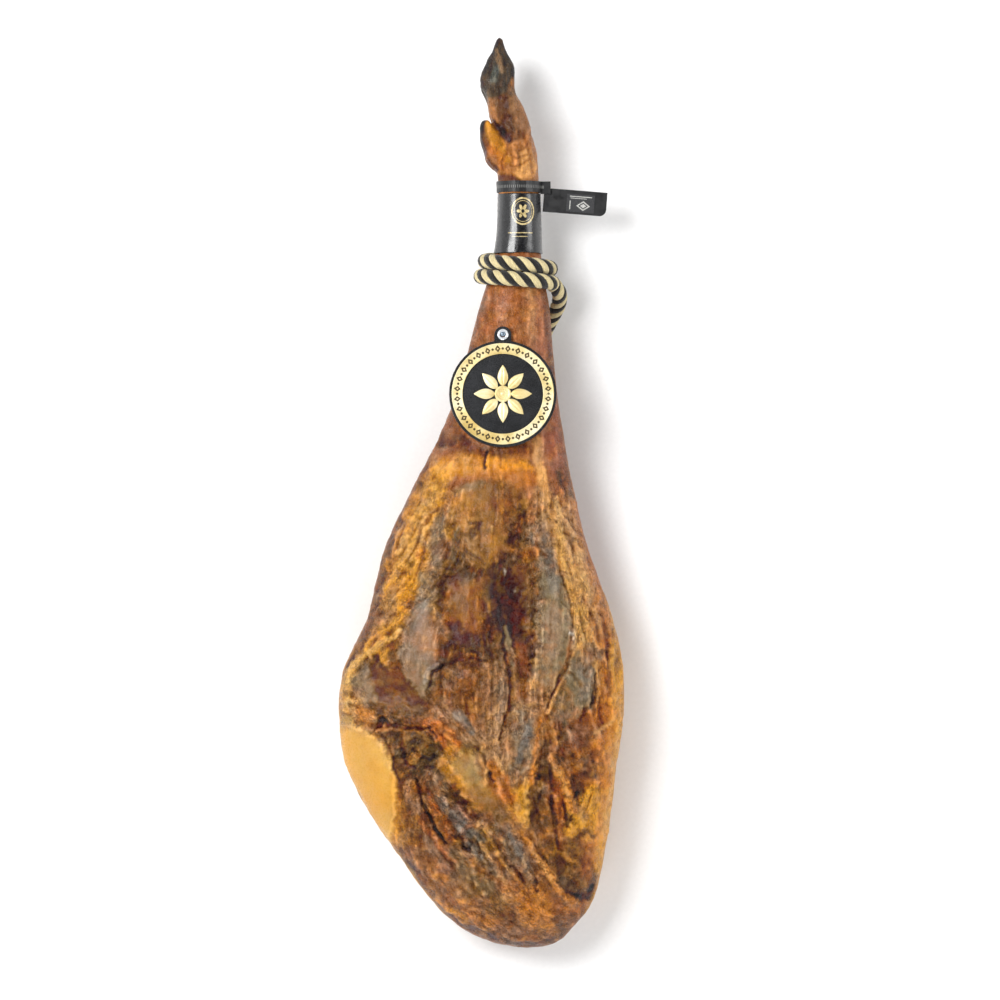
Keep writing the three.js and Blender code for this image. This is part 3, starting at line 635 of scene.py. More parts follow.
RIGHT_RIM = [
    (FAT_TAN, 0.95, 5, 0, [(78, 48, 8), (82, 44, 14), (84, 39, 18), (86, 34, 18), (88, 29, 12)]),
    (FAT_ORANGE, 0.75, 4, 0, [(80, 40, 7), (84, 37, 9), (86, 33.6, 9), (90, 30, 8)]),
    (FAT_HIGHLIGHT, 0.6, 2, 0.6, [(76, 49.6, 3), (80, 48, 3), (76, 46.2, 4)]),
    (PINK, 0.65, 3, 0, [(84, 45.6, 7), (78, 44.4, 5)]),
    (MEAT_DARK, 0.75, 1.2, -0.7, [
        (72, 47.4, 0.8), (76, 46, 1.4), (83, 45.6, 0.9), (90, 45, 1.6), (92, 44, 0.8),
    ]),
    (RED_BROWN, 0.7, 1.4, -0.6, [(80, 49.4, 1), (84, 47.4, 1.2), (92, 46.2, 1)]),
    (RED_BROWN, 0.6, 1.4, -0.6, [(72, 45, 0.9), (76, 42.6, 1.4), (78, 40, 1)]),
    (FAT_PALE, 0.7, 3, 0.5, [(76, 46, 5), (76, 42.6, 7), (78, 40, 9), (76, 37.6, 7), (70, 34, 5)]),
    (FAT_HIGHLIGHT, 0.5, 3, 0.3, [(88, 43, 5), (90, 40, 6), (90, 36, 6)]),
    (AMBER_BRIGHT, 0.85, 3, 0, [
        (98, 49, 3), (97, 45, 4), (96, 41, 7), (95, 37, 6), (90, 31, 7), (88, 28, 8), (86, 25, 8),
    ]),
    (RED_BROWN, 0.65, 1.6, -0.5, [(80, 38.6, 1.2), (84, 36, 1.8), (84, 33.6, 1.2)]),
    (RED_BROWN, 0.65, 1.6, -0.5, [
        (92, 37, 1.2), (90, 34.4, 2), (90, 32, 1.4), (88, 29.6, 1.6), (88, 27, 1.2),
    ]),
    (FAT_HIGHLIGHT, 0.5, 1, 0.5, [(72, 34.6, 1.6), (71, 33.4, 1.6)]),
    (FAT_HIGHLIGHT, 0.5, 1, 0.5, [(78, 35.2, 1.2), (80, 33.8, 1.2), (81, 32.4, 1)]),
    (DARK, 0.6, 1, -0.7, [(74, 37.4, 0.8), (73, 35.6, 1.2), (74, 33.8, 0.8)]),
    (FAT_YELLOW, 0.95, 3, 0.4, [
        (99, 36, 4), (98, 32, 8), (98, 27, 10), (96, 22, 12), (96, 17, 12), (96, 12, 9), (97, 9, 6),
    ]),
    (FAT_HIGHLIGHT, 0.4, 3, 0.2, [(96, 24, 4), (96, 18, 5), (96, 13, 4)]),
]
HOLLOW_MARKS = [
    (AMBER_DARK, 0.95, 5, -1, [(-22, 40.4, 18), (-22, 38.4, 22), (-20, 36.4, 20), (-18, 34.4, 14)]),
    (AMBER, 0.4, 6, 0, [(-28, 39.6, 8), (-26, 37, 9)]),
    (AMBER, 0.55, 4, 0.3, [(-16, 39.6, 7), (-10, 37.6, 8), (-14, 35.6, 7)]),
    (OLIVE_DARK, 0.8, 4, -0.3, [(-40, 40, 6), (-36, 41.2, 6), (-20, 41.6, 6), (-6, 41.2, 5)]),
    (MEAT_LIGHT, 0.6, 1.4, 0.5, [(-48, 41.8, 2), (-36, 41.4, 1.8), (-30, 41.6, 1.6)]),
    (HOLLOW, 0.98, 5, -1.4, [
        (22, 42, 14), (20, 40, 20), (20, 37.6, 20), (23, 35, 16), (28, 33.2, 11), (30, 31.2, 7),
    ]),
    (HOLLOW_BLACK, 0.92, 5, -1.4, [
        (12, 41.6, 9), (12, 39.4, 12), (16, 37, 15), (20, 35, 12), (28, 33.6, 7),
    ]),
    (AMBER_DARK, 0.85, 4, 0, [(34, 42.2, 6), (38, 40.8, 6), (36, 39, 3)]),
    (HOLLOW, 0.85, 4, -0.6, [(-24, 35, 8), (-18, 34, 9), (-6, 33.6, 8), (4, 34.4, 6)]),
    (RED_BROWN, 0.7, 3, 0, [(24, 33, 5), (27, 31.8, 7), (30, 30.6, 5)]),
    (OLIVE, 0.8, 3, 0.3, [(8, 34.4, 4), (7, 32.8, 4)]),
    (GREY_OLIVE, 0.85, 1.4, 0.5, [(14, 35.4, 1.4), (15, 34.2, 2.6), (18, 33, 3.4), (21, 31.6, 2.4)]),
    (DARK, 0.85, 1, -0.6, [(12, 35, 1), (13, 33.6, 1.6), (16, 32.4, 1.4)]),
    (DARK, 0.7, 0.8, -0.5, [(18, 34.6, 0.8), (20, 33.6, 1), (22, 32.6, 0.8)]),
    (GLINT, 0.8, 0.7, 0.3, [(16, 42, 1), (16, 41.3, 0.8)]),
    (GLINT, 0.5, 0.6, 0.2, [(24, 39.3, 0.7)]),
]
LEFT_TONGUE = [
    (GREY, 0.93, 3, 0.3, [
        (-57, 40.8, 3), (-55, 38.8, 6), (-56, 37, 7), (-56, 35, 11), (-52, 33.2, 14), (-48, 31.4, 12),
        (-44, 29.6, 9), (-43, 28, 5), (-43, 26.8, 1.6),
    ]),
    (PINK, 0.8, 4, 0.2, [(-48, 34.2, 9), (-40, 34.4, 8), (-34, 34.4, 5)]),
    (LILAC, 0.7, 3, 0, [(-56, 32.8, 6), (-52, 31, 6), (-46, 29.6, 5)]),
    (GREY_BLUE_SHEEN, 0.5, 3, 0, [(-56, 39, 3), (-54, 37, 4), (-56, 35.4, 4)]),
    (FAT_TAN, 0.5, 1.4, 0.4, [(-46, 38, 1), (-44, 36.4, 1.2)]),
    (PINK, 0.7, 2, 0.3, [(-40, 36, 3), (-34, 35, 4), (-28, 34.2, 3)]),
    (AMBER_DARK, 0.8, 2, -0.5, [(-34, 37.8, 3), (-28, 36.2, 4)]),
    (RED_BROWN, 0.6, 2, -0.4, [(-36, 33, 2), (-28, 32.6, 3)]),
    (AMBER_DARK, 0.8, 3, -0.4, [(-66, 34.6, 3), (-66, 32.4, 4), (-62, 30.4, 4), (-58, 28.6, 3)]),
]
LOBE_MARKS = [
    (MEAT_DARK, 0.9, 4, -0.4, [(-26, 34, 6), (-14, 33.8, 7), (-2, 33.4, 7)]),
    (LOBE_BROWN, 0.97, 3, 0.9, [(-18, 30, 11), (-10, 28.8, 19), (-8, 26.6, 17), (-2, 24.6, 9)]),
    (LOBE_ORANGE, 0.4, 4, 0.2, [(-22, 28.4, 5), (-6, 30.4, 5), (-12, 26.6, 5)]),
    (RED_BROWN, 0.3, 5, 0, [(-12, 29.6, 9), (-6, 27.4, 9)]),
    (MEAT_DARK, 0.5, 2, -0.4, [(-26, 30.6, 2), (-29, 28.6, 3), (-26, 26.6, 2)]),
    (PINK, 0.45, 3, 0.2, [(0, 30.6, 4), (2, 28.4, 4)]),
    (STRIP_TAN, 0.7, 2, 0.3, [(-27, 28, 4), (-26, 26.4, 4), (-16, 25.4, 3)]),
    (STRIP_TAN, 0.9, 3, 0.6, [(10, 31.4, 4), (13, 29.8, 6), (12, 27.6, 7), (11, 25.8, 6), (8, 24.2, 4)]),
    (LILAC, 0.7, 2, 0.3, [(11, 31, 3), (14, 29.4, 4), (13, 27.4, 5), (12, 25.6, 4)]),
    (DARK, 0.8, 1, -1.4, [(-39, 28.4, 0.6), (-37, 29.6, 1.2), (-35, 30.6, 1.6), (-30, 31.3, 1.4)]),
    (MEAT_DARK, 0.75, 1.4, -1, [(-30, 31.3, 1.4), (-20, 31.8, 1), (-8, 32.1, 0.8), (0, 31.8, 0.6)]),
    (GREY_BLUE_SHEEN, 0.85, 1, 0.5, [(-41, 29.4, 1.4), (-38, 30.8, 2.2), (-34, 31.4, 1.4)]),
    (MEAT_DARK, 0.75, 1.2, -1.3, [
        (15, 32.4, 0.8), (17.5, 31, 1.4), (18.5, 29, 0.9), (18.5, 27, 1.3), (16, 24.8, 0.8), (12, 23.4, 1),
    ]),
    (MEAT_DARK, 0.6, 1.2, -0.8, [(-10, 25.4, 0.8), (-4, 24.2, 1.2), (4, 23.2, 0.9)]),
]
LONG_STRIP = [
    (GREY_OLIVE, 0.94, 3, 0.4, [
        (57, 42.4, 6), (57, 40, 10), (56, 37.6, 13), (51, 35, 14), (47, 33, 14), (45, 31.2, 11),
        (42, 30.2, 8),
    ]),
    (GREY_BLUE_SHEEN, 0.55, 3, 0, [(60, 42.8, 5), (58, 41, 6), (58, 39.4, 6)]),
    (LILAC, 0.55, 4, 0, [(54, 37.6, 6), (50, 34, 6), (44, 32, 6)]),
    (DARK, 0.55, 0.9, -0.7, [(66, 41, 0.8), (68, 39, 1.4), (67, 37.4, 0.8)]),
    (STRIP_TAN, 0.9, 4, 0.2, [(36, 29.2, 9), (38, 28, 11), (34, 26.8, 8)]),
    (RED_BROWN, 0.7, 1.6, -0.4, [
        (62, 34.4, 1.4), (60, 32.4, 2), (58, 30.6, 2), (54, 29, 2.4), (48, 27.6, 2.2), (45, 25.8, 1.6),
    ]),
    (DARK, 0.5, 0.8, -0.7, [(54, 30.4, 0.8), (51, 28.6, 1), (46, 27, 0.9)]),
    (FAT_TAN, 0.6, 1, 0.6, [(64, 33, 1), (61, 31, 1.2), (50, 27.6, 1.2), (46, 26.2, 1)]),
    (GLINT, 0.75, 0.8, 0.3, [(62, 34.9, 1.2), (64, 34.8, 1)]),
    (RED_BROWN, 0.5, 3, 0, [(26, 29.4, 3), (24, 27.8, 3)]),
]
RIGHT_PAD = [
    (GREY_OLIVE, 0.93, 3, 0.5, [(70, 31.6, 10), (68, 29.8, 15), (66, 27.8, 15), (60, 26, 10)]),
    (GREY_BLUE_SHEEN, 0.45, 3, 0.2, [(72, 30.8, 6), (74, 29.4, 7), (70, 28, 5)]),
    (OLIVE, 0.6, 3, 0, [(58, 28.6, 4), (58, 27, 5), (62, 25.4, 5)]),
    (GREY, 0.7, 3, 0, [(76, 33.4, 5), (82, 32.4, 5)]),
    (OLIVE_DARK, 0.55, 2, -0.6, [(60, 30.6, 1.4), (66, 30, 2), (70, 29.2, 1.4)]),
    (OLIVE_DARK, 0.5, 2, -0.6, [(76, 33, 1.4), (77, 31.6, 2), (72, 30.6, 1.4)]),
    (BLACK, 0.7, 1.1, -1.4, [
        (80, 30.4, 0.8), (80, 28.8, 1.8), (77, 27.4, 2.2), (72, 26.4, 2), (70, 25.4, 0.8),
    ]),
]
LEFT_POCKET = [
    (POCKET, 0.97, 4, -1, [
        (-80, 31.4, 9), (-75, 29.8, 16), (-68, 28.2, 18), (-56, 27.8, 15), (-44, 27.2, 9),
    ]),
    (MEAT_DARK, 0.7, 4, -0.4, [(-74, 31, 7), (-70, 29.4, 9), (-58, 28.6, 8), (-48, 27.6, 6)]),
    (AMBER_DARK, 0.5, 4, 0.2, [(-68, 32, 5), (-60, 30, 6)]),
    (GREY, 0.8, 4, 0.1, [(-86, 31, 6), (-86, 29.4, 8), (-80, 27.8, 8)]),
    (OLIVE, 0.75, 4, 0.3, [(-74, 26.4, 7), (-62, 26.6, 8), (-50, 26.2, 7)]),
    (MEAT_DARK, 0.4, 5, 0, [(-60, 27.6, 8), (-46, 27, 7)]),
    (FAT_PALE, 0.85, 2, 1.2, [
        (-94, 26.4, 3), (-95, 28.4, 4), (-93, 30.4, 4), (-88, 32.2, 3.4), (-79, 33.6, 3), (-68, 35, 2),
    ]),
    (FAT_OCHRE, 0.7, 1.6, 0.7, [(-86, 34.4, 2), (-76, 35.6, 2), (-66, 37, 2)]),
    (FAT_ORANGE, 0.8, 4, 0.2, [(-97, 25, 5), (-85, 26.2, 7), (-77, 25.8, 5)]),
    (FAT_HIGHLIGHT, 0.75, 2, 0.5, [(-93, 27.2, 3), (-88, 25.6, 3)]),
]
CENTRE_FLOW = [
    (STRIP_TAN, 0.9, 5, 0, [(-34, 26, 8), (0, 22, 16), (24, 20, 16), (36, 24, 10)]),
    (MEAT_RED, 0.95, 2, 0.8, [(-36, 25.2, 5), (-27, 24.2, 9), (-18, 22.8, 9)]),
    (LOBE, 0.5, 1.2, -0.4, [(-30, 24.4, 1.2), (-24, 23.4, 1.8), (-20, 22.4, 1.2)]),
    (LOBE_ORANGE, 0.6, 2, 0.4, [(-26, 24.8, 4), (-20, 23.4, 4)]),
    (GREY_BLUE_SHEEN, 0.85, 2, 0.2, [(-16, 26, 4), (-10, 25, 4), (-6, 24.2, 3)]),
    (FAT_AMBER, 0.85, 3, 0.6, [
        (-18, 22.4, 4), (-26, 21, 5), (-24, 19.4, 6), (-16, 17.8, 6), (-6, 16.6, 5),
    ]),
    (TRANSLUCENT, 0.85, 4, 0, [(-8, 22, 7), (-12, 20.6, 10), (-8, 18.8, 9), (-2, 17.4, 8)]),
    (GREY_OLIVE, 0.5, 5, 0, [(-10, 20.8, 6), (-4, 19, 6)]),
    (FAT_TAN, 0.7, 1.6, 0.5, [(2, 22.8, 1.2), (0, 21.4, 1.6), (4, 19.8, 1.4), (2, 18.4, 1.4)]),
    (OLIVE_LIGHT, 0.9, 4, 0.2, [(-10, 17.6, 6), (-2, 17, 8), (6, 16, 8), (12, 15.2, 6)]),
    (AMBER_BRIGHT, 0.85, 2, 0.6, [(8, 20.6, 4), (13, 19, 6), (15, 17.6, 4)]),
    (FAT_TAN, 0.6, 1.6, 0.4, [(12, 21.4, 2), (16, 19.8, 1.6)]),
    (DARK, 0.85, 1, -0.6, [(6, 19.7, 1.4), (8, 18.8, 1)]),
    (DARK, 0.7, 1, -0.6, [(-4, 22.6, 1), (2, 21.8, 1.2), (4, 20.6, 0.8)]),
    (GREY, 0.9, 3, 0.2, [(24, 26.6, 4), (30, 25.4, 7), (28, 23.4, 9), (32, 22, 8), (26, 20.4, 7)]),
    (GREY_BLUE_SHEEN, 0.85, 2, 0.1, [(34, 24.8, 3.5), (32, 23, 4), (28, 21.2, 4)]),
    (STRIP_TAN, 0.8, 2, 0.3, [(18, 24, 4), (20, 22.4, 4)]),
    (AMBER_BRIGHT, 0.75, 1.5, 0.7, [
        (40, 25.6, 1.6), (40, 23, 2), (38, 21, 2), (36, 19, 3.4), (32, 18.4, 3),
    ]),
    (MEAT_RED, 0.75, 3, 0.2, [(18, 17, 5), (24, 16.2, 6), (22, 15, 4)]),
    (FAT_YELLOW, 0.95, 2.4, 1.3, [(31, 18.6, 3), (28, 17, 5), (26, 15.6, 7), (28, 14.2, 4)]),
    (FAT_PALE, 0.6, 2, 0.4, [(32, 17.6, 2), (31, 15.4, 2.6)]),
    (OLIVE_DARK, 0.92, 2, -0.8, [(46, 23, 3), (46, 20.6, 5), (44, 18.6, 6), (42, 16.6, 5), (36, 14.6, 4)]),
    (BLACK, 0.7, 1, -0.7, [(42, 19.6, 1), (44, 17.6, 1.4), (38, 15.4, 1.2)]),
    (OLIVE, 0.9, 4, 0.2, [(44, 16, 7), (44, 13.6, 11), (46, 11, 11)]),
]
RIGHT_LOWER = [
    (RED_BROWN, 0.7, 5, 0, [(72, 24, 16), (70, 20, 22), (66, 15, 18), (72, 11, 16)]),
    (FAT_ORANGE, 0.7, 4, 0.2, [(90, 26, 6), (90, 22, 7), (88, 17, 8), (86, 12, 7)]),
    (PURPLE_DARK, 0.85, 3, -0.5, [(53, 25, 4), (56, 23.6, 6), (62, 21.6, 7), (54, 21, 4)]),
    (PURPLE_DARK, 0.8, 3, -0.5, [(74, 23, 5), (76, 21, 6), (80, 19.6, 6)]),
    (LILAC, 0.55, 2, 0.2, [(54, 22.4, 3), (64, 24.4, 3), (68, 22.4, 3)]),
    (AMBER_BRIGHT, 0.8, 3, 0.4, [(82, 25.6, 5), (86, 24, 5), (82, 22.6, 5)]),
    (FAT_TAN, 0.7, 1.5, 0.6, [(80, 24, 1.6), (88, 24.8, 1.8), (92, 25.6, 1.4)]),
    (LOBE_ORANGE, 0.8, 3, 0.4, [(70, 20.4, 6), (64, 20.6, 4)]),
    (AMBER_BRIGHT, 0.75, 3, 0.2, [(88, 21, 6), (90, 18.6, 6)]),
    (OLIVE_DARK, 0.85, 2.5, -1, [(68, 19, 4), (71, 18, 6), (73, 17, 5)]),
    (BLACK, 0.75, 1.5, -0.7, [(72, 17.2, 2.4), (73, 16.4, 2)]),
    (FAT_YELLOW, 0.9, 3, 0.5, [(66, 15.6, 8), (76, 15, 11), (84, 17, 8), (78, 13.4, 9), (68, 13.4, 7)]),
    (FAT_TAN, 0.5, 2, 0.4, [(72, 15.4, 3), (78, 14.4, 3)]),
    (FAT_ORANGE, 0.92, 2, 1, [(50, 21.4, 2), (54, 20.4, 4), (59, 19, 5), (64, 17.4, 5), (67, 15.6, 4)]),
    (FAT_TAN, 0.6, 1.4, 0.4, [(54, 20.4, 1.6), (60, 18.6, 2), (64, 17, 1.6)]),
    (MEAT_RED, 0.7, 2.5, 0.2, [(54, 18.4, 5), (57, 16.6, 5), (58, 14.4, 4)]),
    (DARK, 0.75, 1.2, -1, [(50, 20.6, 1.2), (51, 18, 1.4), (52, 15.4, 1.8), (54, 13, 2), (55, 11.4, 1.4)]),
    (DARK, 0.7, 1, -0.7, [(60, 16.8, 0.8), (62, 15, 1.4), (64, 13.6, 1.2), (66, 14.8, 1)]),
    (PURPLE_DARK, 0.7, 2, -0.4, [(74, 12.6, 3), (80, 13.2, 3), (86, 12.8, 2.4)]),
]
PALE_PAD = [
    (PAD, 0.98, 2.6, 1.2, [
        (-95, 25, 7), (-92, 23.8, 11), (-88, 21.8, 23), (-86, 19, 25), (-88, 16.4, 21), (-94, 14, 11),
        (-98, 12, 5),
    ]),
    (FAT_OCHRE, 0.4, 7, 0, [(-98, 24, 6), (-98, 19, 7), (-97, 14, 6)]),
    (FAT_AMBER, 0.55, 6, 0, [(-66, 19, 4), (-68, 17, 6), (-74, 14.4, 7), (-84, 12, 6)]),
    (FAT_OCHRE, 0.35, 6, 0, [(-78, 20, 9), (-84, 16, 8)]),
    (DARK, 0.7, 1, -0.8, [
        (-72, 24.4, 1), (-67, 23.2, 1.2), (-64, 21.8, 1.2), (-63, 20, 1), (-62, 18.8, 0.8),
    ]),
]
FOLDED_MUSCLE = [
    (MEAT, 0.95, 5, 0, [(-52, 20, 12), (-46, 16, 20), (-50, 13, 20)]),
    (FOLDED, 0.96, 3, 0, [
        (-60, 24.2, 6), (-52, 22.8, 12), (-42, 22.8, 12), (-34, 22.4, 8), (-46, 20.6, 11),
    ]),
    (OLIVE, 0.7, 2, 0.5, [(-50, 23.6, 3), (-42, 24, 3), (-36, 23, 3), (-44, 22.2, 3)]),
    (DARK, 0.85, 1.4, -1, [(-56, 24, 1.6), (-56, 22, 2), (-53, 20.6, 2), (-48, 20.2, 1.4)]),
    (DARK, 0.8, 1.2, -0.9, [(-48, 22.4, 1.4), (-42, 21.6, 1.8), (-36, 21.2, 1.6), (-32, 22, 1)]),
    (DARK, 0.7, 1.2, -0.7, [(-40, 20.4, 1.4), (-34, 20.4, 1.2)]),
    (BLACK, 0.9, 1.2, -2, [
        (-74, 24.3, 0.8), (-69, 25.6, 2.6), (-65, 25, 2.4), (-56, 24.7, 1.8), (-46, 24.6, 1.6),
        (-36, 24.6, 1.4), (-30, 23.6, 1),
    ]),
    (PINK, 0.65, 2.5, 0.3, [(-56, 18.6, 3), (-57, 17, 4), (-56, 15.4, 4)]),
    (GREY, 0.55, 3, 0, [(-40, 19.4, 5), (-36, 18, 6), (-30, 18.8, 5)]),
    (BLACK, 0.85, 1, -1.8, [
        (-50, 19, 0.8), (-50, 17.6, 1.8), (-52, 16.2, 1.6), (-49, 14.8, 1.4), (-50, 13.4, 1.4),
        (-46, 12, 1),
    ]),
    (MEAT_RED, 0.75, 2.5, 0.3, [(-42, 17, 3), (-42, 15.6, 4), (-40, 14, 5), (-38, 12.8, 4)]),
    (DARK, 0.85, 2, -1, [(-24, 18, 3), (-22, 17, 4), (-18, 16, 4), (-14, 15.2, 3), (-6, 15, 3)]),
    (GREY_BLUE_SHEEN, 0.75, 2, 0.2, [(-34, 17, 4), (-32, 15.8, 4), (-28, 14.6, 5), (-26, 13.6, 4)]),
    (GREY_BLUE_SHEEN, 0.8, 1.6, 0.5, [(-30, 13.4, 3), (-22, 14.2, 3), (-18, 13, 4), (-14, 12.2, 3)]),
    (BLACK, 0.85, 1.2, -1, [
        (-36, 13, 1.2), (-32, 12.4, 2), (-30, 11.6, 2.6), (-26, 11.3, 2.6), (-22, 12.2, 1.6),
    ]),
    (BLACK, 0.6, 1, -0.6, [(-12, 13.6, 1.6), (-6, 12.4, 1.4)]),
]
BUTT = [
    (LOBE_BROWN, 0.92, 6, 0, [
        (-80, 10, 14), (-56, 8.6, 26), (-20, 5, 30), (30, 4, 30), (66, 3, 18), (10, 9, 26),
    ]),
    (MEAT_LIGHT, 0.65, 5, 0.2, [(-46, 8.2, 8), (-38, 6.6, 9), (-30, 8.4, 7)]),
    (OLIVE, 0.6, 4, 0, [(-34, 9.4, 7), (-28, 7.4, 8), (-44, 5.6, 8)]),
    (FAT_ORANGE, 0.6, 5, 0.2, [(4, 7, 8), (16, 5.6, 10), (32, 6, 10), (42, 5, 9)]),
    (FAT_ORANGE, 0.65, 5, 0.1, [(16, 4.6, 8), (28, 4, 10), (42, 3.6, 10)]),
    (AMBER_BRIGHT, 0.6, 3, 0.2, [(10, 7.4, 4), (18, 5.6, 5), (24, 6.8, 4)]),
    (OLIVE_LIGHT, 0.7, 4, 0.2, [(-24, 6.4, 9), (-14, 5, 9), (-30, 4.6, 7)]),
    (FAT_ORANGE, 0.6, 4, 0.2, [(-62, 5.4, 5), (-50, 3.8, 6), (-40, 2.8, 5)]),
    (LOBE_ORANGE, 0.8, 4, 0.2, [(-66, 9, 6), (-60, 7, 7)]),
    (MEAT_RED, 0.5, 3, 0.2, [(50, 5.4, 5), (58, 4.6, 5)]),
    (GREY, 0.8, 2, 0.3, [(2, 14, 4), (8, 12.4, 5), (14, 11, 5), (20, 9.8, 5), (24, 8.4, 4)]),
    (GREY_BLUE_SHEEN, 0.7, 1.6, 0.3, [(14, 13, 3), (20, 11.2, 4), (24, 9.6, 3)]),
    (PINK, 0.7, 2, 0.4, [(-8, 14, 3), (-2, 12.4, 4), (4, 10.8, 4), (8, 9.4, 3)]),
    (GREY_OLIVE, 0.6, 2, 0.2, [(-22, 11, 4), (-14, 9.6, 4), (-6, 8.2, 4)]),
    (FAT_TAN, 0.65, 1.2, 0.6, [(-14, 12, 1.4), (-8, 10.4, 1.6), (-6, 8.8, 2), (-2, 7.4, 1.4)]),
    (FAT_OCHRE, 0.6, 1.2, 0.6, [(-8, 13.6, 1.6), (-2, 11.6, 1.8), (2, 9.6, 1.8), (10, 8, 1.6)]),
    (PINK, 0.6, 2, 0.3, [(26, 11.6, 2.4), (30, 10.2, 2.6), (30, 9, 2.4), (24, 7.8, 2)]),
    (DARK, 0.7, 1, -0.7, [(-20, 12.6, 1.2), (-14, 10.8, 1), (-12, 9.4, 0.8)]),
    (DARK, 0.7, 1, -0.7, [(8, 9.6, 0.8), (15, 8.4, 1.8), (16, 7.8, 1.2)]),
    (DARK, 0.75, 1, -0.7, [(-24, 9, 1), (-18, 8.6, 2), (-14, 8.8, 1)]),
    (DARK, 0.8, 1, -0.7, [(29, 7.8, 1.6), (31, 6.8, 1.4)]),
    (PURPLE_DARK, 0.5, 3, -0.3, [(4, 5.2, 3), (0, 4, 4), (-14, 3.4, 4)]),
    (FAT_GOLD, 0.7, 3, 0.2, [(-94, 5.4, 3), (-86, 5, 3), (-70, 3.4, 3)]),
    (RIND, 0.85, 3, -0.3, [(-99, 10.6, 3), (-98, 8.4, 5), (-99, 6.6, 4)]),
    (OLIVE_DARK, 0.9, 3, -1, [(54, 10.4, 4), (58, 8.6, 6), (64, 7.2, 7), (76, 6.6, 7)]),
    (OLIVE, 0.8, 4, 0.2, [(66, 11.4, 7), (68, 9.6, 8), (74, 8.6, 7)]),
    (MEAT_RED, 0.5, 3, 0.1, [(84, 11.4, 4), (86, 9.6, 5), (84, 8.4, 4)]),
    (BLACK, 0.9, 2, -1.2, [(60, 6.4, 1.6), (72, 5.8, 2.4), (86, 5.6, 4), (92, 5.8, 3), (92, 7.2, 2)]),
    (FAT_ORANGE, 0.85, 2, 1.5, [
        (26, 13, 1.6), (32, 11.4, 2.6), (38, 9.8, 3), (46, 8.2, 2.6), (56, 6.8, 2.4), (66, 5.8, 2.2),
        (78, 5.2, 1.6),
    ]),
    (FAT_TAN, 0.6, 1.2, 0.3, [(31, 11.6, 1.4), (38, 9.6, 1.6), (48, 7.8, 1.2)]),
    (AMBER_BRIGHT, 0.85, 3, 0.3, [(66, 4.6, 4), (80, 4.6, 5)]),
    (PURPLE_DARK, 0.6, 3, -0.3, [(58, 3.4, 4), (68, 2.8, 4)]),
    (GREY_OLIVE, 0.6, 3, 0.2, [(-44, 11, 5), (-34, 8.6, 7), (-22, 7, 6)]),
    (PINK, 0.55, 2.4, 0.3, [(-8, 9.6, 3), (0, 8, 4), (10, 6.8, 4)]),
    (LILAC, 0.5, 2.4, 0.2, [(-60, 13, 4), (-56, 10.6, 5), (-50, 8, 4)]),
    (RIND, 0.7, 2, -0.4, [
        (-98, 5, 3), (-90, 3, 3), (-60, 1.5, 3), (-20, 0.6, 3), (30, 0.4, 3), (76, 1.4, 3), (96, 3.4, 3),
    ]),
    (GREY_BLUE_SHEEN, 0.7, 1.2, 0.5, [(-26, 12.4, 1.4), (-20, 11, 1.6), (-16, 9.8, 1.2)]),
    (GREY, 0.7, 1.2, 0.5, [(6, 12, 1.2), (10, 10.4, 1.6), (14, 9, 1.2)]),
    (DARK, 0.7, 1.4, -0.8, [(-2, 12.8, 0.8), (2, 11, 1.4), (6, 9.4, 1)]),
    (DARK, 0.6, 1.4, -0.6, [(-56, 13, 1), (-52, 10.6, 1.6), (-48, 8.6, 1)]),
    (MEAT_RED, 0.6, 1.6, 0.5, [(-60, 14, 2), (-54, 12, 2.4), (-50, 10, 1.6)]),
]
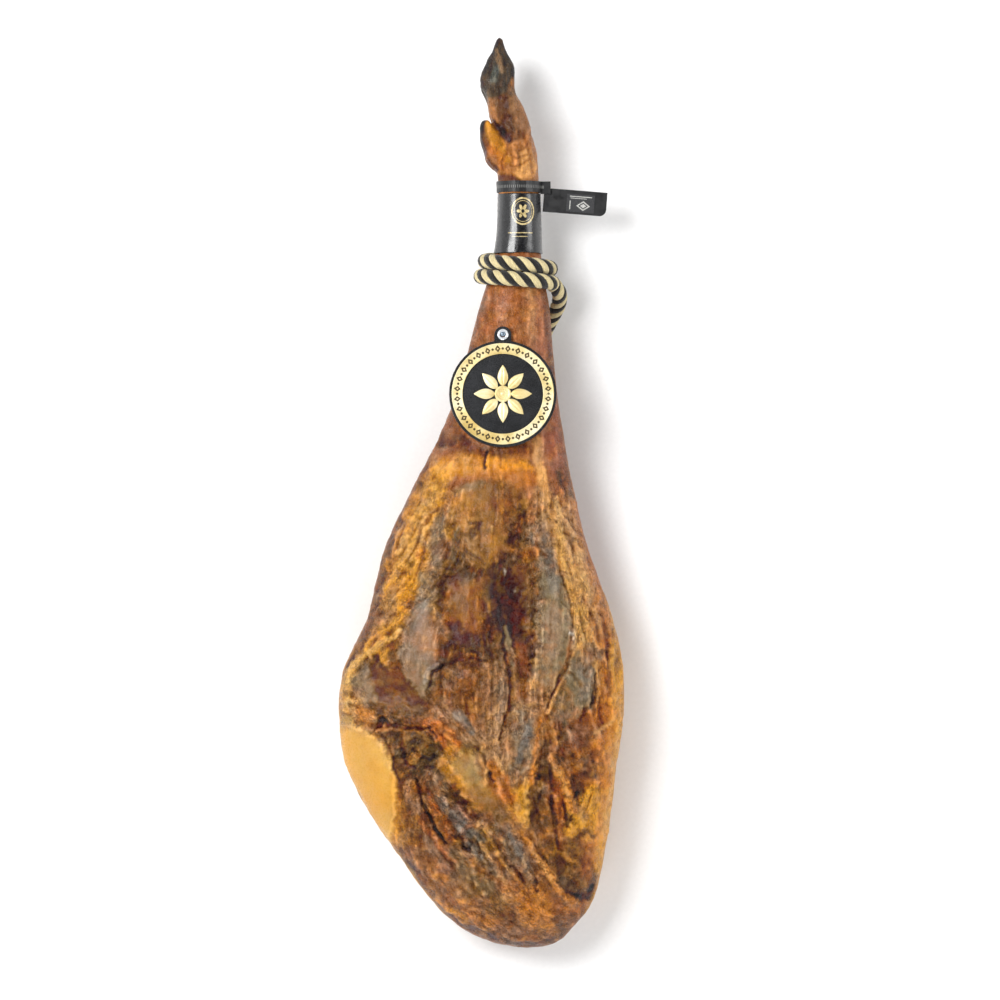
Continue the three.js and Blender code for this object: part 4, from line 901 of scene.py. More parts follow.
FOOT = [
    (FOOT_TAN, 1, 4, 0, [(0, 83, 34), (20, 88, 20), (30, 94, 14)]),
    (FAT_TAN, 0.55, 3, 0.2, [(60, 87, 6), (60, 85.6, 8), (20, 85, 5)]),
    (PASTERN, 0.95, 3, 0, [(40, 90, 12), (20, 91.6, 12), (10, 93, 12), (0, 94, 10)]),
    (PURPLE_DARK, 0.8, 2.5, -0.3, [(0, 92.8, 6), (-10, 91.6, 6), (20, 90.2, 7), (30, 89.2, 5)]),
    (STRIP_TAN, 0.6, 2.5, 0.3, [(66, 94, 4), (60, 92.8, 4), (40, 92.2, 3)]),
    (PURPLE_DARK, 0.5, 3, 0, [(0, 94, 7), (10, 92, 8), (30, 91, 8)]),
    (PINK, 0.55, 2.5, 0.1, [(62, 92, 5), (62, 90.4, 5), (80, 89.8, 3)]),
    (BLACK, 0.9, 2, -0.6, [(-44, 90.8, 1.6), (-24, 90, 3), (-8, 89.2, 3.4), (4, 88.6, 2.4)]),
    (FAT_AMBER, 0.75, 2, 0.4, [(-72, 90.4, 3), (-52, 89.4, 5), (-34, 88, 6), (-24, 86.6, 5)]),
    (MEAT_RED, 0.55, 2.5, 0, [(-60, 87.6, 4), (-36, 86.8, 4), (-40, 85.8, 3)]),
    (HORN_DARK, 0.9, 1.5, 0, [(-84, 91, 2), (-94, 90, 2.4), (-98, 88.6, 2), (-96, 87, 1.6)]),
    (RIND, 0.75, 1.5, -0.3, [(-88, 87.4, 2), (-84, 86.4, 2), (-70, 85.4, 2)]),
    (RED_BROWN, 0.7, 1.6, -0.6, [
        (-4, 88.2, 0.7), (-12, 87.2, 1), (-24, 86.8, 0.8), (-38, 86.2, 1), (-46, 85.4, 0.6),
    ]),
    (RED_BROWN, 0.5, 1.4, -0.5, [(24, 88.2, 0.5), (34, 87.5, 0.9), (56, 87.7, 0.7), (72, 88.4, 0.5)]),
    (RED_BROWN, 0.5, 1.4, -0.5, [(2, 87, 0.5), (18, 86.6, 0.9), (40, 86.9, 0.8), (60, 87, 0.5)]),
    (RED_BROWN, 0.5, 1.4, -0.4, [(-10, 85.8, 0.6), (16, 85.8, 0.9), (44, 86.1, 0.8), (70, 86.6, 0.6)]),
    (MEAT_DARK, 0.4, 1.4, -0.3, [(20, 87.6, 1.2), (34, 86.6, 1), (24, 85.6, 0.9)]),
    (RED_BROWN, 0.5, 1.4, -0.4, [(64, 89.4, 1), (74, 87, 1.6), (76, 85.2, 1.2)]),
    (RIND, 0.8, 2, -0.3, [(-80, 84.6, 3), (-20, 84.5, 3), (0, 84.2, 2)]),
]
HOOF = [
    (HORN, 1, 1.4, 0.2, [(-24, 95, 14), (0, 96.6, 15), (0, 98.4, 12), (0, 100, 8)]),
    (HORN_DARK, 0.85, 2, 0, [(-90, 94.6, 3), (-86, 96.4, 3), (-80, 98.2, 3), (-30, 99.8, 3)]),
    (HORN_DARK, 0.85, 2, 0, [(96, 95.8, 2), (94, 97, 3), (84, 98.4, 2.4), (40, 99.8, 3)]),
    (HORN_TEAL, 0.75, 2.5, 0, [(-24, 95.4, 4), (-14, 96.4, 3)]),
    (HORN_TAN, 0.85, 1.6, 0.2, [(-26, 98.6, 1.4), (-16, 97.8, 2.2), (8, 97, 2.4), (24, 96.2, 2)]),
    (HORN_TAN, 0.2, 2.5, 0, [(50, 96.6, 2), (54, 95.4, 3)]),
    (DARK, 0.6, 0.6, -0.3, [(-56, 97.6, 0.6), (-50, 96, 0.9), (-48, 94.8, 0.7)]),
]
# Wide faint washes of painted shade and painted light that set how light each region is: a painted shadow
# below the medallion, painted shade over the middle and the pale pad, and painted light on the two fat rims.
LIGHT_AND_SHADE_WASHES = [
    # A painted shadow cast by the medallion on the band below it.
    (SHADE, 0.45, 4, 0, [(-52, 55.2, 5), (-20, 54.4, 5), (10, 54.4, 5), (40, 55.2, 4)]),
    (SHADE, 0.3, 6, 0, [(-58, 54, 8), (-30, 53.4, 7)]),
    (SHADE, 0.36, 9, 0, [(10, 43, 10), (9, 40, 13), (8, 36, 13)]),
    (SHADE, 0.24, 10, 0, [(-28, 42, 14), (-24, 36, 16), (-16, 31, 18), (-20, 27.6, 14)]),
    (SHADE, 0.18, 10, 0, [(14, 31.6, 14), (12, 28, 12)]),
    (SHADE, 0.22, 9, 0, [(-54, 36, 10), (-46, 31, 12), (-46, 27, 14), (-48, 23, 12)]),
    (PAINTED_LIGHT, 0.26, 5, 0, [(88, 48, 7), (92, 44.8, 8), (84, 40.5, 9), (90, 36, 6)]),
    (PAINTED_WARM_LIGHT, 0.24, 6, 0, [(-70, 48, 7), (-74, 44.8, 9), (-80, 41, 7)]),
    (PAD_SHADE, 0.2, 6, 0, [(-86, 22.6, 12), (-88, 18, 14), (-92, 14, 9)]),
]
MARKS = [
    *NECK, *GOLD_BAND, *LEFT_RIM, *UPPER_MUSCLE, *RIGHT_RIM, *HOLLOW_MARKS, *LEFT_TONGUE, *LONG_STRIP,
    *LOBE_MARKS, *RIGHT_PAD, *LEFT_POCKET, *CENTRE_FLOW, *RIGHT_LOWER, *PALE_PAD, *FOLDED_MUSCLE, *BUTT,
    *LIGHT_AND_SHADE_WASHES, *FOOT, *HOOF,
]
# Places where the fibres and wrinkles are weaker than elsewhere, or stronger: (strength, rounds).
CALM = [
    (0.7, [(0, 80, 40), (0, 66, 50), (0, 57, 66)]),
    (0.04, [(-92, 23, 12), (-88, 21, 25), (-86, 18, 24), (-94, 13, 12)]),
    (0.45, [(-54, 37, 8), (-46, 33, 14), (-46, 29, 9)]),
    (0.6, [(57, 40, 8), (53, 34, 11), (48, 30, 8)]),
    (0.8, [(70, 31, 10), (62, 27, 12)]),
    (0.7, [(96, 30, 6), (96, 20, 8), (95, 10, 8)]),
    (1.35, [(-44, 18, 18), (-26, 14, 20), (4, 11, 18), (24, 9, 14)]),
    (1.25, [(60, 22, 12), (64, 16, 14)]),
    (0.8, [(-66, 52, 10), (0, 53, 10), (40, 52, 8)]),
    (0.2, [(16, 40, 18), (20, 35, 14)]),
    (0.55, [(-20, 39, 16), (-18, 35, 12)]),
    (0.4, [(-68, 29, 18), (-50, 28, 14)]),
    (0.45, [(-12, 20, 10), (0, 17, 10)]),
    (0.6, [(-10, 48, 22), (0, 44, 16)]),
]
# Direction of the fibres in degrees from +x: (across, along, angle).
GRAIN = [
    (0, 70, 92), (-70, 52, 62), (70, 52, 102), (-76, 45, 52), (-80, 38, 46), (-82, 32, 48),
    (-20, 46, 86), (40, 46, 98), (82, 45, 104), (84, 37, 98), (90, 28, 92), (94, 16, 82),
    (-50, 34, 78), (54, 36, 88), (10, 36, 90), (-66, 29, 155), (-10, 28, 86), (68, 29, 74),
    (-46, 22, 40), (-30, 24, 142), (0, 18, 128), (30, 22, 84), (60, 19, 112), (72, 14, 100),
    (-54, 15, 104), (-30, 14, 126), (-50, 9, 122), (0, 10, 118), (44, 13, 98), (40, 9, 132),
    (66, 8, 116), (0, 5, 140), (50, 4, 165), (0, 88, 100), (0, 97, 86),
]


# ---------------------------------------------------------------- chart of the inner side
# A grid over the ham seen from above, in mm, that holds its colour, relief and roughness.
low, high = (np.array(c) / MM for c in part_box("ham"))
CELL = 0.8
MARGIN = 8
EDGE_STEP = 4  # along the leg, between the places where its width is taken
xs = np.arange(low[0] - MARGIN, high[0] + MARGIN, CELL)
ys = np.arange(low[1] - MARGIN, high[1] + MARGIN, CELL)
chart = np.stack(np.meshgrid(xs, ys), -1)
STRAP_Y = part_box("seal_tag")[0][1] / MM
SLEEVE_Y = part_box("shank_sleeve")[0][1] / MM


def blurred(field, sigma):
    """Gaussian blur of a chart field, sigma in mm."""
    ky = np.fft.fftfreq(field.shape[0])[:, None]
    kx = np.fft.rfftfreq(field.shape[1])[None, :]
    g = np.exp(-2 * (math.pi * sigma / CELL) ** 2 * (kx ** 2 + ky ** 2))
    return np.fft.irfft2(np.fft.rfft2(field) * g, s=field.shape)


def sampled(field, p):
    """A chart field read between its cells at points p, in mm."""
    u = np.clip((p[..., 0] - xs[0]) / CELL, 0, len(xs) - 1.001)
    v = np.clip((p[..., 1] - ys[0]) / CELL, 0, len(ys) - 1.001)
    i, j = np.floor(u).astype(int), np.floor(v).astype(int)
    fu, fv = u - i, v - j
    if field.ndim == 3:
        fu, fv = fu[..., None], fv[..., None]
    near = field[j, i] * (1 - fu) + field[j, i + 1] * fu
    far = field[j + 1, i] * (1 - fu) + field[j + 1, i + 1] * fu
    return near * (1 - fv) + far * fv


def leg_edges():
    """The leg's left and right edge at even steps along it, in mm."""
    v = vertex_array(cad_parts["ham"].data) / MM
    steps = np.arange(low[1] + EDGE_STEP / 2, high[1], EDGE_STEP)
    rows = [v[np.abs(v[:, 1] - y) < 1.75 * EDGE_STEP, 0] for y in steps]
    return steps, np.array([r.min() for r in rows]), np.array([r.max() for r in rows])


EDGES = leg_edges()


def place(across, along):
    """The point of the leg at percentages of its width and length, in mm."""
    y = low[1] + along / 100 * (high[1] - low[1])
    left = np.interp(y, EDGES[0], EDGES[1])
    right = np.interp(y, EDGES[0], EDGES[2])
    return (left + right) / 2 + across / 200 * (right - left), y


def placed(rounds):
    return [(*place(across, along), r) for across, along, r in rounds]


def grain_field():
    """Unit vectors along the fibres, blended between the places in GRAIN."""
    total = np.zeros(chart.shape)
    for across, along, angle in GRAIN:
        d2 = ((chart - place(across, along)) ** 2).sum(-1)
        a = math.radians(2 * angle)
        total += np.array([math.cos(a), math.sin(a)]) / (d2 + 60)[..., None] ** 1.6
    half = np.arctan2(total[..., 1], total[..., 0]) / 2
    wobble = 0.5 * fractal(chart, 34, 3, 5)
    return np.stack([np.cos(half + wobble), np.sin(half + wobble)], -1)


def smeared(field, direction, length):
    """A chart field drawn out along the fibres, brought to a spread of one."""
    total = field.copy()
    for sign in (1, -1):
        p = chart.copy()
        for _ in range(int(length / CELL)):
            p = p + sign * CELL * sampled(direction, p)
            total += sampled(field, p)
    return (total - total.mean()) / total.std()


def chain_distance(p, points):
    """Distance of p from a chain of rounds, negative inside."""
    best = np.full(p.shape[:-1], 1e9)
    pairs = zip(points, points[1:]) if len(points) > 1 else [(points[0], points[0])]
    for (ax, ay, ar), (bx, by, br) in pairs:
        ab = np.array([bx - ax, by - ay], float)
        t = np.clip(((p - (ax, ay)) @ ab) / max(ab @ ab, 1e-9), 0, 1)
        d = np.hypot(p[..., 0] - ax - t * ab[0], p[..., 1] - ay - t * ab[1])
        best = np.minimum(best, d - (ar + t * (br - ar)))
    return best


def lay_marks():
    """Colour and relief of the marks: a blurred layer that fills the gaps, then each as it is."""
    loose = (1 - 0.75 * above_strap())[..., None]
    warp = loose * np.stack([fractal(chart, 17, 4, s) for s in (11, 23)], -1)
    fine = loose * np.stack([fractal(chart, 4.5, 2, s) for s in (31, 43)], -1)
    colour = np.tile(rgb(FAT_ORANGE), chart.shape[:2] + (1,))
    height = np.zeros(chart.shape[:2])
    for spread in (1, 0):
        for code, cover, soft, raised, rounds in MARKS:
            soft = soft + 9 * spread
            points = [(x, y, r * (1 + 0.3 * spread) + 3 * spread) for x, y, r in placed(rounds)]
            size = max(r for _, _, r in points)
            reach = size + 2 * soft + 8
            spine = np.array(points)
            i0, i1 = np.searchsorted(xs, [spine[:, 0].min() - reach, spine[:, 0].max() + reach])
            j0, j1 = np.searchsorted(ys, [spine[:, 1].min() - reach, spine[:, 1].max() + reach])
            part = (slice(j0, j1), slice(i0, i1))
            # large marks wander more than small ones, and every edge is uneven
            p = chart[part] + warp[part] * min(4.0, 1.8 + 0.24 * size)
            p = p + fine[part] * min(1.8, 1.0 + 0.1 * size)
            uneven = chain_distance(p, points) + 0.9 * fine[part][..., 0] + 0.5 * warp[part][..., 1]
            mask = 1 - smoothstep(-soft, soft, uneven)
            a = (mask * cover)[..., None]
            colour[part] = colour[part] * (1 - a) + rgb(code) * a
            if not spread:
                height[part] += raised * mask
    return colour, height


def above_strap():
    """1 on the foot and 0 below the seal's strap."""
    return smoothstep(STRAP_Y - 10, STRAP_Y + 10, chart[..., 1])


def surface_strength():
    """How strongly fibres and wrinkles show, from 0 to 1."""
    strength = np.ones(chart.shape[:2])
    for left, rounds in CALM:
        mask = 1 - smoothstep(-7, 7, chain_distance(chart, placed(rounds)))
        strength *= 1 - (1 - left) * mask
    return strength * (1 - 0.35 * above_strap())


# Patches of other colours over everything: (colour, size in mm, cover).
TINTS = [
    ("b0624a", 16, 0.24), ("8d8454", 19, 0.12), ("e8a448", 10, 0.24), ("c8a890", 14, 0.14),
    ("c4702c", 8, 0.3), ("b89880", 7, 0.22), ("8f8b88", 8, 0.16), ("6a3a18", 7, 0.2),
]
SHARPEN = 0.6  # how much the colours' edges are picked out
BRIGHTEST = 0.88
# Painted shade: how dark the crevices of the relief are painted.
CREVICE_SHADE = np.array([0.58, 0.36, 0.22])  # what is left of red, green and blue at the bottom of a crevice


def build_chart():
    """The inner side's colour, relief in mm, roughness and lean of the fibres."""
    colour, height = lay_marks()
    strength = surface_strength()
    direction = grain_field()

    def strands(width, length):
        return smeared(blurred(rng.standard_normal(chart.shape[:2]), width), direction, length)

    thin, wide, folds = strands(0.6, 8), strands(1.4, 15), strands(3.2, 24)
    crumple = smeared(fractal(chart, 9, 3, 61, ridged=True), direction, 1.6)
    patches = smoothstep(-0.35, 0.45, fractal(chart, 19, 3, 67))
    lumps = fractal(chart, 22, 3, 71)
    clumps = smeared(fractal(chart, 12, 3, 83, ridged=True), direction, 5)
    rough = 0.06 * thin + 0.26 * wide + 0.42 * folds + (0.08 + 0.24 * patches) * crumple + 0.45 * clumps
    height = height + strength * rough + (0.35 + 0.65 * strength) * lumps
    for k, (code, size, cover) in enumerate(TINTS):
        where = smoothstep(0.1, 0.55, fractal(chart, size, 4, 301 + 7 * k))
        a = (where * cover * (0.2 + 0.8 * strength) * (1 - 0.7 * above_strap()))[..., None]
        colour = colour * (1 - a) + rgb(code) * a
    fine = height - blurred(height, 1.5)
    middle = height - blurred(height, 4.5)
    tone = 1 + strength * (0.02 * thin + 0.05 * wide + 0.05 * crumple) + 0.06 * lumps
    colour = colour * np.clip(tone, 0.4, 1.8)[..., None]
    # Painted shade in the relief's crevices and a painted highlight on its ridges.
    shade = np.clip(-fine * 0.8 - middle * 0.3 - 0.08, 0, 1)[..., None]
    colour = colour * (1 - shade * (1 - CREVICE_SHADE))
    shine = np.clip(fine * 0.5 + middle * 0.22 - 0.06, 0, 0.5)[..., None]
    colour = colour * (1 + 1.1 * shine) + 0.2 * shine * rgb("f4c488")
    light = colour.sum(-1)
    edge = SHARPEN * (light - blurred(light, 2.2)) / (light + 0.1)
    colour = colour * np.clip(1 + edge, 0.6, 1.4)[..., None]
    colour = colour / np.maximum(1, colour.max(-1, keepdims=True) / BRIGHTEST)
    # 0.5 where the fibres run along y, 0 or 1 where they lean 45 degrees to one side or the other
    lean = 0.5 + 0.5 * np.clip(direction[..., 0] * np.sign(direction[..., 1]) / 0.7, -1, 1)
    return np.clip(colour, 0.003, 0.95), height, strength, blurred(lean, 2)


# ---------------------------------------------------------------- the ham
VOXEL = 1.05
FLAT_UNDER = 0.8  # what is lower belongs to the face that the leg rests on
LOWEST = 0.25  # where the relief stops, clear of the floor
NECK_FROM, NECK_TO = 50, 90  # along y, where the body turns into the neck
HOOF_FROM, HOOF_TO = 356, 360
PAINT_LEVEL = 0.86
SHEEN = np.array([0.017, 0.022, 0.03])  # light that the surface adds over its colour


def dense_leg(material):
    """The CAD leg as an even mesh with its facets smoothed away."""
    obj = copy_of("ham", "cured_ham", material)
    remesh = obj.modifiers.new("remesh", "REMESH")
    remesh.mode = "VOXEL"
    remesh.voxel_size = VOXEL * MM
    remesh.use_smooth_shade = True
    apply_modifiers(obj)
    y = vertex_array(obj.data)[:, 1] / MM
    group = obj.vertex_groups.new(name="body")  # the foot keeps more of its own shape
    weights = 1 - 0.82 * smoothstep(STRAP_Y - 4, STRAP_Y + 24, y)
    for i, w in enumerate(weights):
        group.add([i], float(w), "REPLACE")
    smooth = obj.modifiers.new("smooth", "SMOOTH")
    smooth.factor = 0.5
    smooth.iterations = int(60 / VOXEL ** 2)
    smooth.vertex_group = "body"
    apply_modifiers(obj)
    return obj


def outer_colours(p, n):
    """Colour of the sides and the underside, where the chart of the inner side doesn't reach."""
    long_p = p * (1, 0.35, 1)
    broad = fractal(p, 46, 4, 201)
    streak = fractal(long_p, 7, 3, 211)
    spots = fractal(p, 12, 3, 221)
    wrinkles = fractal(long_p + 3 * spots[:, None], 9, 3, 241, ridged=True)
    y, x = p[:, 1], p[:, 0]

    def blend(base, code, amount):
        amount = np.clip(amount, 0, 1)[:, None]
        return base * (1 - amount) + rgb(code) * amount

    def along_leg(start, full, fade, end):
        return smoothstep(start, full, y) * (1 - smoothstep(fade, end, y))

    c = np.tile(rgb("c58a42"), (len(p), 1))
    c = blend(c, "dca854", 0.9 * smoothstep(-0.1, 0.5, broad))
    c = blend(c, "9a5f30", 0.8 * smoothstep(0.0, 0.6, -broad))
    c = blend(c, "7a4a2c", 0.5 * smoothstep(0.25, 0.7, spots))
    left_rind = smoothstep(-14, 10, -x) * along_leg(-160, -110, 40, 90)
    c = blend(c, "6c3e1e", 0.8 * left_rind * smoothstep(-0.4, 0.1, n[:, 2] + 0.25 * streak))
    pad = smoothstep(-10, 20, -x - 30) * along_leg(-370, -330, -215, -175)
    c = blend(c, "dfab58", 0.85 * pad)
    right = smoothstep(10, 60, x) * along_leg(-390, -350, -130, -60)
    c = blend(c, "ecaa44", 0.8 * right * smoothstep(-0.5, 0.3, 0.6 + streak))
    upper_right = smoothstep(10, 60, x) * along_leg(-130, -60, -10, 30)
    c = blend(c, "b5672e", 0.8 * upper_right)
    butt = 1 - smoothstep(-400, -350, y)
    c = blend(c, "8a5632", 0.85 * butt)
    skin = smoothstep(-30, 60, y + 26 * broad)
    c = blend(c, "a0643f", 0.95 * skin)
    c = blend(c, "74412a", 0.5 * skin * smoothstep(0.0, 0.6, streak))
    # the skin left on in a point over the outer side
    point = smoothstep(-8, 8, y + 92 - 1.25 * np.abs(x - 10) + 12 * spots) * smoothstep(-0.1, 0.4, -n[:, 2])
    c = blend(c, "8a5233", 0.9 * point * (1 - skin))
    c = blend(c, "8a5630", 0.3 * smoothstep(-0.1, 0.6, wrinkles))
    c = blend(c, "e8bc80", 0.25 * smoothstep(0, 0.6, -spots) * smoothstep(-0.1, 0.5, broad))
    return c * (1 + 0.2 * streak[:, None]), streak - 1.2 * np.maximum(0, wrinkles), spots


def shape_and_colour(obj):
    """Relief and colour from the chart on the inner side, and from noise on the rest."""
    colour_chart, height_chart, rough_chart, lean_chart = build_chart()
    p = vertex_array(obj.data) / MM
    n = vertex_array(obj.data, normals=True)
    y = p[:, 1].copy()
    foot = smoothstep(STRAP_Y - 6, STRAP_Y + 2, y)
    facing = n[:, 2] + 0.08 * fractal(p, 14, 2, 301)
    upper = np.maximum(smoothstep(0.04, 0.42, facing), foot)
    colour = sampled(colour_chart, p)
    height = sampled(height_chart, p)
    outer, streak, spots = outer_colours(p, n)
    outer_height = 0.7 * streak + 1.3 * spots
    # the neck stays close to its rope, sleeve and medallion
    wrapped = smoothstep(NECK_FROM, NECK_TO, y) * (1 - foot)
    flat = 1 - 0.75 * (p[:, 2] < FLAT_UNDER)
    lift = upper * height + (1 - upper) * outer_height * flat
    lift *= 1 - 0.8 * wrapped
    under_sleeve = smoothstep(SLEEVE_Y - 2, SLEEVE_Y + 2, y) * (1 - smoothstep(STRAP_Y + 12, STRAP_Y + 16, y))
    lift = lift * (1 - under_sleeve) - 0.35 * under_sleeve
    p += n * (lift * np.minimum(1, 0.6 + upper))[:, None]
    p[:, 2] = np.maximum(p[:, 2], LOWEST)
    obj.data.vertices.foreach_set("co", (p * MM).astype(np.float32).ravel())
    obj.data.update()
    paint = outer * (1 - upper[:, None]) + colour * upper[:, None]
    horn = smoothstep(HOOF_FROM, HOOF_TO, p[:, 1] + 1.5 * smooth_noise(p / 3, 9))
    rough = sampled(rough_chart, p) * upper + (1 - upper) * 0.6
    set_attribute(obj.data, "paint", np.clip(paint * PAINT_LEVEL - SHEEN, 0.003, 0.95), "FLOAT_COLOR")
    set_attribute(obj.data, "rough", rough)
    set_attribute(obj.data, "horn", horn)
    set_attribute(obj.data, "lean", 0.5 + (sampled(lean_chart, p) - 0.5) * upper)


def crease_lines(m, at, turn, scale, width):
    """Thin wandering lines, drawn out at an angle to y in degrees: 1 on a line, 1 between them."""
    turned = m.make(
        "Mapping",
        {"Vector": at, "Rotation": (0, 0, math.radians(turn)), "Scale": (1, 2.4, 1)},
        vector_type="TEXTURE",
    )
    off = abs(m.noise(turned, scale, 3, 0.62) - 0.5)
    return m.remap(off, 0, width, 1, 0), m.remap(off, 0.09, 0.2, 0, 1)


def ham_look():
    m = Nodes("cured_ham")
    at = m.object_coords()
    rough = m.attribute("rough")
    lean = m.attribute("lean")
    left = m.remap(lean, 0.5, 0, 0, 1)
    right = m.remap(lean, 0.5, 1, 0, 1)
    crease, ridge = 0, 0
    for turn, share in ((0, 1 - (left + right)), (42, left), (-42, right)):
        wide_line, wide_top = crease_lines(m, at, turn, 240, 0.035)
        thin_line, thin_top = crease_lines(m, at, turn, 460, 0.05)
        crease = crease + m.math("MAXIMUM", wide_line, thin_line) * share
        ridge = ridge + (wide_top + thin_top * 0.7) * share
    fine = m.noise(at, 900, 4, 0.62)
    broken = m.remap(m.noise(at, 150, 3, 0.6), 0.38, 0.62, 0.15, 1)
    crease = crease * broken * rough
    ridge = ridge * (broken * rough)
    contrast = m.ramp(fine, {0.25: 0.2, 0.5: 0.5, 0.75: 0.82})
    base = m.mix(m.remap(rough, 0.0, 1.0, 0.12, 0.3), m.attribute("paint", "Color"), contrast, "OVERLAY")
    # Painted shade in the creases and a painted highlight on the ridges between them, besides their bump
    # below.
    base = m.mix(crease * 0.66, base, "7c4420", "MULTIPLY")
    base = m.mix(ridge * 0.6, base, "ffd0a0", "SOFT_LIGHT")
    grown = m.make("Mapping", {"Vector": at, "Scale": (1, 0.1, 1)})
    streaks = m.remap(m.noise(grown, 800, 3, 0.6), 0.35, 0.65, 0, 0.75)
    base = m.mix(streaks * m.attribute("horn"), base, "15171a")
    oily = m.noise(at, 520, 2, 0.5)
    m.set(Base_Color=base, Roughness=m.remap(oily, 0.38, 0.62, 0.18, 0.48))
    m.set(Specular_IOR_Level=0.26, Coat_Weight=0.05, Coat_Roughness=0.12)
    m.set(Subsurface_Weight=0.04, Subsurface_Radius=(0.004, 0.002, 0.001), Subsurface_Scale=0.5)
    strength = rough * 0.8
    folds = m.bump(crease - ridge * 0.6, -0.0018, strength + 0.1)
    m.set(Normal=m.bump(fine, 0.0007, strength + 0.15, folds))
    return m.material


ham = dense_leg(ham_look())
shape_and_colour(ham)
dress(ham, "ham", "ham")


# ---------------------------------------------------------------- sleeve
EMBLEM_TURN = 16.5  # degrees round the shank from the inner side
EMBLEM_UP = 0.70  # share of the sleeve's length
SHANK_R = 22.5  # to lay the print out round the shank
SLEEVE_GAP, SLEEVE_THICK = 0.5, 0.8
SLEEVE_ROWS, SLEEVE_SIDES = 60, 144
SLEEVE_WAVES = 9  # waves of the leg's section that the film still follows
UNPRINTED = (500, 500, 0)  # far from the print


def leg_shell(y0, y1, rows, sides, lift):
    """Points lift mm outside the leg between y0 and y1, its facets smoothed: [row, side, xyz]."""
    angles = round_angles(sides)
    out = np.stack([np.sin(angles), np.zeros(sides), np.cos(angles)], 1)
    shell = []
    for y in np.linspace(y0, y1, rows):
        at = LEG_MIDDLE + (0, y, 0)
        radius = [np.linalg.norm(round_leg(math.degrees(a), y - SHIFT[1], 0) - at) for a in angles]
        wave = np.fft.rfft(radius)
        wave[SLEEVE_WAVES:] = 0
        shell.append(at + out * (np.fft.irfft(wave, sides) + lift)[:, None])
    return np.array(shell)


def sleeve_look():
    """Black film with a worn gold print: a flower in two rings over two lines, in mm from its middle."""
    m = Nodes("shrunk_film")
    fine = m.noise(m.object_coords(), 380, 4, 0.6)
    u, v, _ = m.parts(m.attribute("print", "Vector"))
    r = m.math("SQRT", u * u + v * v)
    petals = abs(m.math("COSINE", m.math("ARCTAN2", v, u) * 3.0))
    flower = (r < petals * 4.4 + 2.2) * (r > 1.7)
    rings = m.near(r, 11.7, 0.75) + m.near(r, 9.4, 0.22)
    lines = m.near(v, -19.5, 0.4) * m.near(u, -3.0, 13.0)
    short = m.near(v, -22.8, 0.28) * m.near(u, -3.0, 8.0)
    printed = m.math("ADD", flower + rings, lines + short, clamp=True)
    worn = printed * m.remap(fine, 0.28, 0.45, 0.45, 1.0)
    film = m.ramp(fine, {0.3: "08080a", 0.7: "19191c"})
    gold = m.ramp(fine, {0.3: "9c8450", 0.7: "dccb98"})
    m.set(Base_Color=m.mix(worn, film, gold), Roughness=m.remap(fine, 0.3, 0.7, 0.2, 0.36))
    m.set(Coat_Weight=0.5, Coat_Roughness=0.2, Normal=m.bump(fine, 0.0004, 0.35))
    return m.material


def sleeve():
    box_low, box_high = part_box("shank_sleeve")
    y0, y1 = box_low[1] / MM, box_high[1] / MM
    rows, sides = SLEEVE_ROWS, SLEEVE_SIDES
    inside = leg_shell(y0, y1, rows, sides, SLEEVE_GAP)
    outside = leg_shell(y0, y1, rows, sides, SLEEVE_GAP + SLEEVE_THICK)
    # heat has drawn the film into faint puckers, deeper at its lower end
    angles = round_angles(sides)
    away = (outside - inside) / SLEEVE_THICK
    grid = np.stack(np.meshgrid(angles * 21, np.linspace(y0, y1, rows)), -1)
    tight = 0.16 + 0.3 * np.exp(-(grid[..., 1] - y0) / 5)
    outside += away * (tight * (fractal(grid * (1, 0.35), 7, 3, 401) - 0.3))[..., None]
    scallop = 0.7 * np.sin(3 * angles + 0.6) + 0.4 * np.sin(8 * angles)
    for edge in (outside[0], inside[0]):
        edge[:, 1] += 0.4 + 0.5 * scallop
    points = np.concatenate([outside, inside[::-1]]).reshape(-1, 3) * MM
    obj = new_object("shrunk_sleeve", points, tube_faces(2 * rows, sides, closed=True), sleeve_look())
    turn = (angles + math.pi - math.radians(EMBLEM_TURN)) % (2 * math.pi) - math.pi
    up = np.linspace(0, 1, rows) - EMBLEM_UP
    u, v = np.meshgrid(turn * SHANK_R, up * (y1 - y0))
    printed = np.stack([u, v, np.zeros_like(u)], -1)
    both = np.concatenate([printed, printed[::-1] + UNPRINTED])
    set_attribute(obj.data, "print", both, "FLOAT_VECTOR")
    dress(obj, "sleeve", "shank_sleeve")


# ---------------------------------------------------------------- seal and its flag
STRAP_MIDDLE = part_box("shank_sleeve")[1][1] + 0.0062  # along y, in metres
LABEL_TILT = math.radians(-4.5)


def bevelled(node, name, material, width, segments=3):
    """A CAD node with its sharp edges rounded."""
    obj = copy_of(node, name, material)
    bevel = obj.modifiers.new("bevel", "BEVEL")
    bevel.width = width * MM
    bevel.segments = segments
    bevel.limit_method = "ANGLE"
    bevel.angle_limit = math.radians(40)
    apply_modifiers(obj)
    obj.data.shade_smooth()
    obj.data.set_sharp_from_angle(angle=math.radians(42))
    return obj


